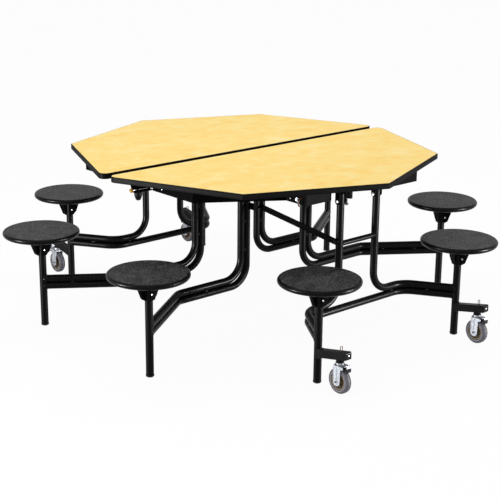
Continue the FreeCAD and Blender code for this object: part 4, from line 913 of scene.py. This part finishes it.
class STOOLTABLE_OT_tyres(bpy.types.Operator):
    """Mould the grooved tyres and the wheel cores with their bearing caps"""

    bl_idname = "stool_table.tyres"
    bl_label = "Tyres and cores"

    def execute(self, context):
        groove = context.scene.stool_table_details.tread_groove / MM
        crown = 51.94
        bottom = crown - groove
        sidewall = [(35.05, 13), (37, 13.4), (38.5, 12.8), (40.5, 12.6), (42, 13.3), (44, 13.5)]
        sidewall += arc(crown - 8, 5.5, 8, 90, 0, 12)[1:]
        sidewall += [(bottom, 4.9), (bottom, 4.1), (crown, 3.5), (crown, 0.4)]
        tyre_profile = sidewall + [(r, -z) for r, z in reversed(sidewall)]
        # Bands in the second finish: the crown band is a painted highlight, and the sidewall ring takes
        # the same lighter grey.
        tread_highlight = [(crown - 0.02, 0.4), (crown + 0.04, 0.9), (crown + 0.04, 3.0), (crown - 0.02, 3.4)]
        pale_sidewall_ring = [(38.0, 13.12), (40.0, 12.84), (41.6, 13.17)]
        core = [(4.05, 17.7), (9.5, 17.7), (9.5, 17.0), (12.4, 16.8), (13, 16), (13, 5), (14.5, 4),
                (27, 4), (28.6, 5.2), (29, 10.4), (29.6, 11), (34.4, 11), (35, 10.4)]
        core_profile = core + [(r, -z) for r, z in reversed(core)]
        rim = [(30.6, 10.9), (31.2, 11.5), (34.0, 11.5), (34.6, 10.9)]
        rib = scaled([(12, -1.5), (30, -1.5), (30, 1.5), (12, 1.5)])
        # Finishes of a core: tan rim rings, steel caps, and painted shade over the rest of the core.
        core_finishes = [paint("core"), paint("steel"), paint("core_web_shade")]
        for end in ENDS:
            for hand in HANDS:
                name = f"{end}_{hand}"
                place = facing(middle_of(f"tyre_{name}"), (1, 0, 0))
                tyre = Shape().turned(scaled(tyre_profile), place, 96, 0, True)
                for sign in (-1, 1):
                    for band in (tread_highlight, pale_sidewall_ring):
                        tyre.turned([(r * MM, z * sign * MM) for r, z in band], place, 96, 1)
                tyre.piece(f"grooved_tyre_{name}", f"wheel_{name}", "tyre",
                           [paint("tyre"), paint("tread_highlight")], 28.0, [f"tyre_{name}"])
                wheel = Shape().turned(scaled(core_profile), place, 72, 2, True)
                for sign in (-1, 1):
                    wheel.turned([(r * MM, z * sign * MM) for r, z in rim], place, 72, 0)
                for number in range(6):
                    wheel.plate(rib, -9 * MM, 9 * MM, place @ moved(turn=number * math.pi / 3), 2)
                for sign in (-1, 1):
                    cap = place @ moved(z=sign * 17.6 * MM)
                    wheel.turned(scaled([(5, 0.05 * sign), (9.2, 0.05 * sign), (9.2, -1 * sign)]),
                                 cap, 36, 1)
                wheel.piece(f"ribbed_core_{name}", f"wheel_{name}", "wheel_core", core_finishes, 30.0,
                            [f"wheel_core_{name}"])
        return {"FINISHED"}


class STOOLTABLE_OT_casters(bpy.types.Operator):
    """Dress the forks: creases, race, seal, tab, axle tips and the zinc plates of the pedal"""

    bl_idname = "stool_table.casters"
    bl_label = "Caster forks"

    def execute(self, context):
        deck = [(-11, -2), (-12.5, -6), (-12.5, -20.5), (12.5, -20.5), (12.5, -6), (11, -2)]
        for end in ENDS:
            for hand in HANDS:
                name = f"{end}_{hand}"
                place = caster_place(end, hand)
                fork = Shape()
                for sign in (-1, 1):
                    face = sign * 21.0 * MM
                    crease = [(face, -3 * MM, 112 * MM), (face, -3.5 * MM, 90 * MM),
                              (face, -3 * MM, 64 * MM)]
                    fork.swept(crease, [1.6 * MM, 1.9 * MM, 1.0 * MM], place, 12)
                    fold = [(face, y * MM, z * MM) for y, z in ((14.5, 114), (13.5, 72), (11, 60))]
                    fork.swept(fold, 0.9 * MM, place)
                fork.piece(f"fork_crease_{name}", f"fork_{name}", "zinc", [paint("fork")], 50.0)
                # The swivel race, drawn in the black rubber finish: painted shade in the gap between the
                # swivel plate and the fork crown.
                race = Shape()
                race.turned(scaled([(17.05, 116.1), (19.4, 116.1), (20.0, 117.2), (19.4, 118.6),
                                    (17.05, 118.6)]), place, 48, 0, True)
                race.piece(f"swivel_race_{name}", f"fork_{name}", "bumper", [paint("bumper")], 35.0)
                seal = Shape()
                seal.turned(scaled([(14.05, 127.2), (15.2, 127.2), (15.8, 128.4), (15.8, 132.0),
                                    (15.0, 133.0), (14.05, 133.0)]), place, 48, 0, True)
                seal.piece(f"swivel_seal_{name}", f"{end}_outer_frame", "bumper",
                           [paint("bumper")], 35.0)
                tab = Shape()
                tab.plate(scaled([(-8, 15), (8, 15), (8, 20), (5, 25), (-5, 25), (-8, 20)]), 113.0 * MM,
                          115.4 * MM, place)
                for sign in (-1, 1):
                    tip = place @ facing((sign * 25 * MM, -3 * MM, 52 * MM), (sign, 0, 0))
                    tab.turned(scaled([(0, 2.6), (2.8, 2.6), (3.6, 2.0), (3.8, 0), (3.8, -1)]), tip, 20, 1)
                tab.piece(f"fork_tab_{name}", f"fork_{name}", "zinc",
                          [paint("steel"), paint("oxide")], 35.0)
                pedal = Shape()
                slope = place @ Matrix.Translation((0, -30 * MM, 117.6 * MM)) \
                    @ Matrix.Rotation(math.radians(-18.0), 4, "X")
                pedal.plate(scaled(deck), 0, 1.2 * MM, slope)
                for number in range(3):
                    y = -18.5 + number * 4.6
                    pedal.plate(scaled([(-10.5, y), (10.5, y), (10.5, y + 1.6), (-10.5, y + 1.6)]),
                                1.1 * MM, 1.7 * MM, slope)
                lip = place @ facing((0, -50.0 * MM, 0), (0, -1, 0))
                pedal.plate(scaled([(-12.5, 117), (12.5, 117), (12.5, 124.6), (-12.5, 124.6)]),
                            0, 1.2 * MM, lip)
                pedal.piece(f"pedal_plate_{name}", f"pedal_{name}", "zinc", [paint("zinc")], 30.0)
        return {"FINISHED"}


class STOOLTABLE_OT_stage(bpy.types.Operator):
    """Set the floor, the soft studio light and the camera"""

    bl_idname = "stool_table.stage"
    bl_label = "Stage"

    def execute(self, context):
        scene = context.scene
        mesh = bpy.data.meshes.new("floor")
        reach = 40.0
        mesh.from_pydata([(-reach, -reach, 0), (reach, -reach, 0), (reach, reach, 0), (-reach, reach, 0)],
                         [], [(0, 1, 2, 3)])
        mesh.materials.append(stage_finish(scene.stool_table_colours.floor))
        floor = bpy.data.objects.new("floor", mesh)
        scene.collection.objects.link(floor)
        self.set_world(scene)
        self.set_lamps(scene)
        self.set_camera(scene)
        scene.view_settings.view_transform = "Standard"
        return {"FINISHED"}

    def set_lamps(self, scene):
        """Area lamps turned to the table and hidden from the camera."""
        for name, spot, width, height, power, soft in LAMPS:
            data = bpy.data.lights.new(name, "AREA")
            data.shape = "RECTANGLE"
            data.size = width
            data.size_y = height
            data.energy = power
            lamp = bpy.data.objects.new(name, data)
            lamp.matrix_world = facing(spot, Vector(spot) - Vector(LAMP_TARGET))
            lamp.visible_camera = False
            lamp.visible_diffuse = soft
            scene.collection.objects.link(lamp)

    def set_camera(self, scene):
        """The camera of the main view."""
        data = bpy.data.cameras.new("photo_view")
        data.sensor_width = 36.0
        data.lens = 89.094
        data.shift_x = -0.00944
        data.shift_y = 0.00255
        data.clip_end = 200.0
        camera = bpy.data.objects.new("photo_view", data)
        camera.matrix_world = Matrix.Translation(CAMERA_PLACE) \
            @ Matrix.Rotation(math.radians(CAMERA_HEADING), 4, "Z") \
            @ Matrix.Rotation(math.radians(90 - CAMERA_DOWN), 4, "X") \
            @ Matrix.Rotation(math.radians(CAMERA_ROLL), 4, "Z")
        scene.collection.objects.link(camera)
        scene.camera = camera

    def set_world(self, scene):
        """Soft grey light that shows as white to the camera and in reflections."""
        scene.world = bpy.data.worlds.new("studio")
        scene.world.use_nodes = True
        sky = Nodes(scene.world.node_tree)
        tone = sky.node("ShaderNodeMix", {"data_type": "RGBA"},
                        {0: sky.plain_rays(), 6: (0.60, 0.60, 0.60, 1.0), 7: WHITE}, 2)
        sky.node("ShaderNodeOutputWorld", {},
                 {"Surface": sky.node("ShaderNodeBackground", {}, {"Color": tone})}, None)


OPERATORS = (STOOLTABLE_OT_finishes, STOOLTABLE_OT_edge_bands, STOOLTABLE_OT_stools,
             STOOLTABLE_OT_welds, STOOLTABLE_OT_fasteners, STOOLTABLE_OT_stop_threads,
             STOOLTABLE_OT_latches, STOOLTABLE_OT_tyres, STOOLTABLE_OT_casters,
             STOOLTABLE_OT_stage)


class STOOLTABLE_PT_looks(bpy.types.Panel):
    """Lists the colours, the sizes and the steps"""

    bl_idname = "STOOLTABLE_PT_looks"
    bl_label = "Stool table"
    bl_space_type = "VIEW_3D"
    bl_region_type = "UI"
    bl_category = "Stool table"

    def draw(self, context):
        scene = context.scene
        for group in (scene.stool_table_colours, scene.stool_table_details):
            for name in group.bl_rna.properties.keys():
                if name not in ("rna_type", "name"):
                    self.layout.prop(group, name)
        for operator in OPERATORS:
            self.layout.operator(operator.bl_idname)


CLASSES = (TableColours, TableDetails, *OPERATORS, STOOLTABLE_PT_looks)


def register():
    for item in CLASSES:
        bpy.utils.register_class(item)
    bpy.types.Scene.stool_table_colours = bpy.props.PointerProperty(type=TableColours)
    bpy.types.Scene.stool_table_details = bpy.props.PointerProperty(type=TableDetails)


def unregister():
    del bpy.types.Scene.stool_table_details
    del bpy.types.Scene.stool_table_colours
    for item in reversed(CLASSES):
        bpy.utils.unregister_class(item)


def main():
    register()
    for operator in OPERATORS:
        family, name = operator.bl_idname.split(".")
        getattr(getattr(bpy.ops, family), name)()


if __name__ == "__main__":
    main()
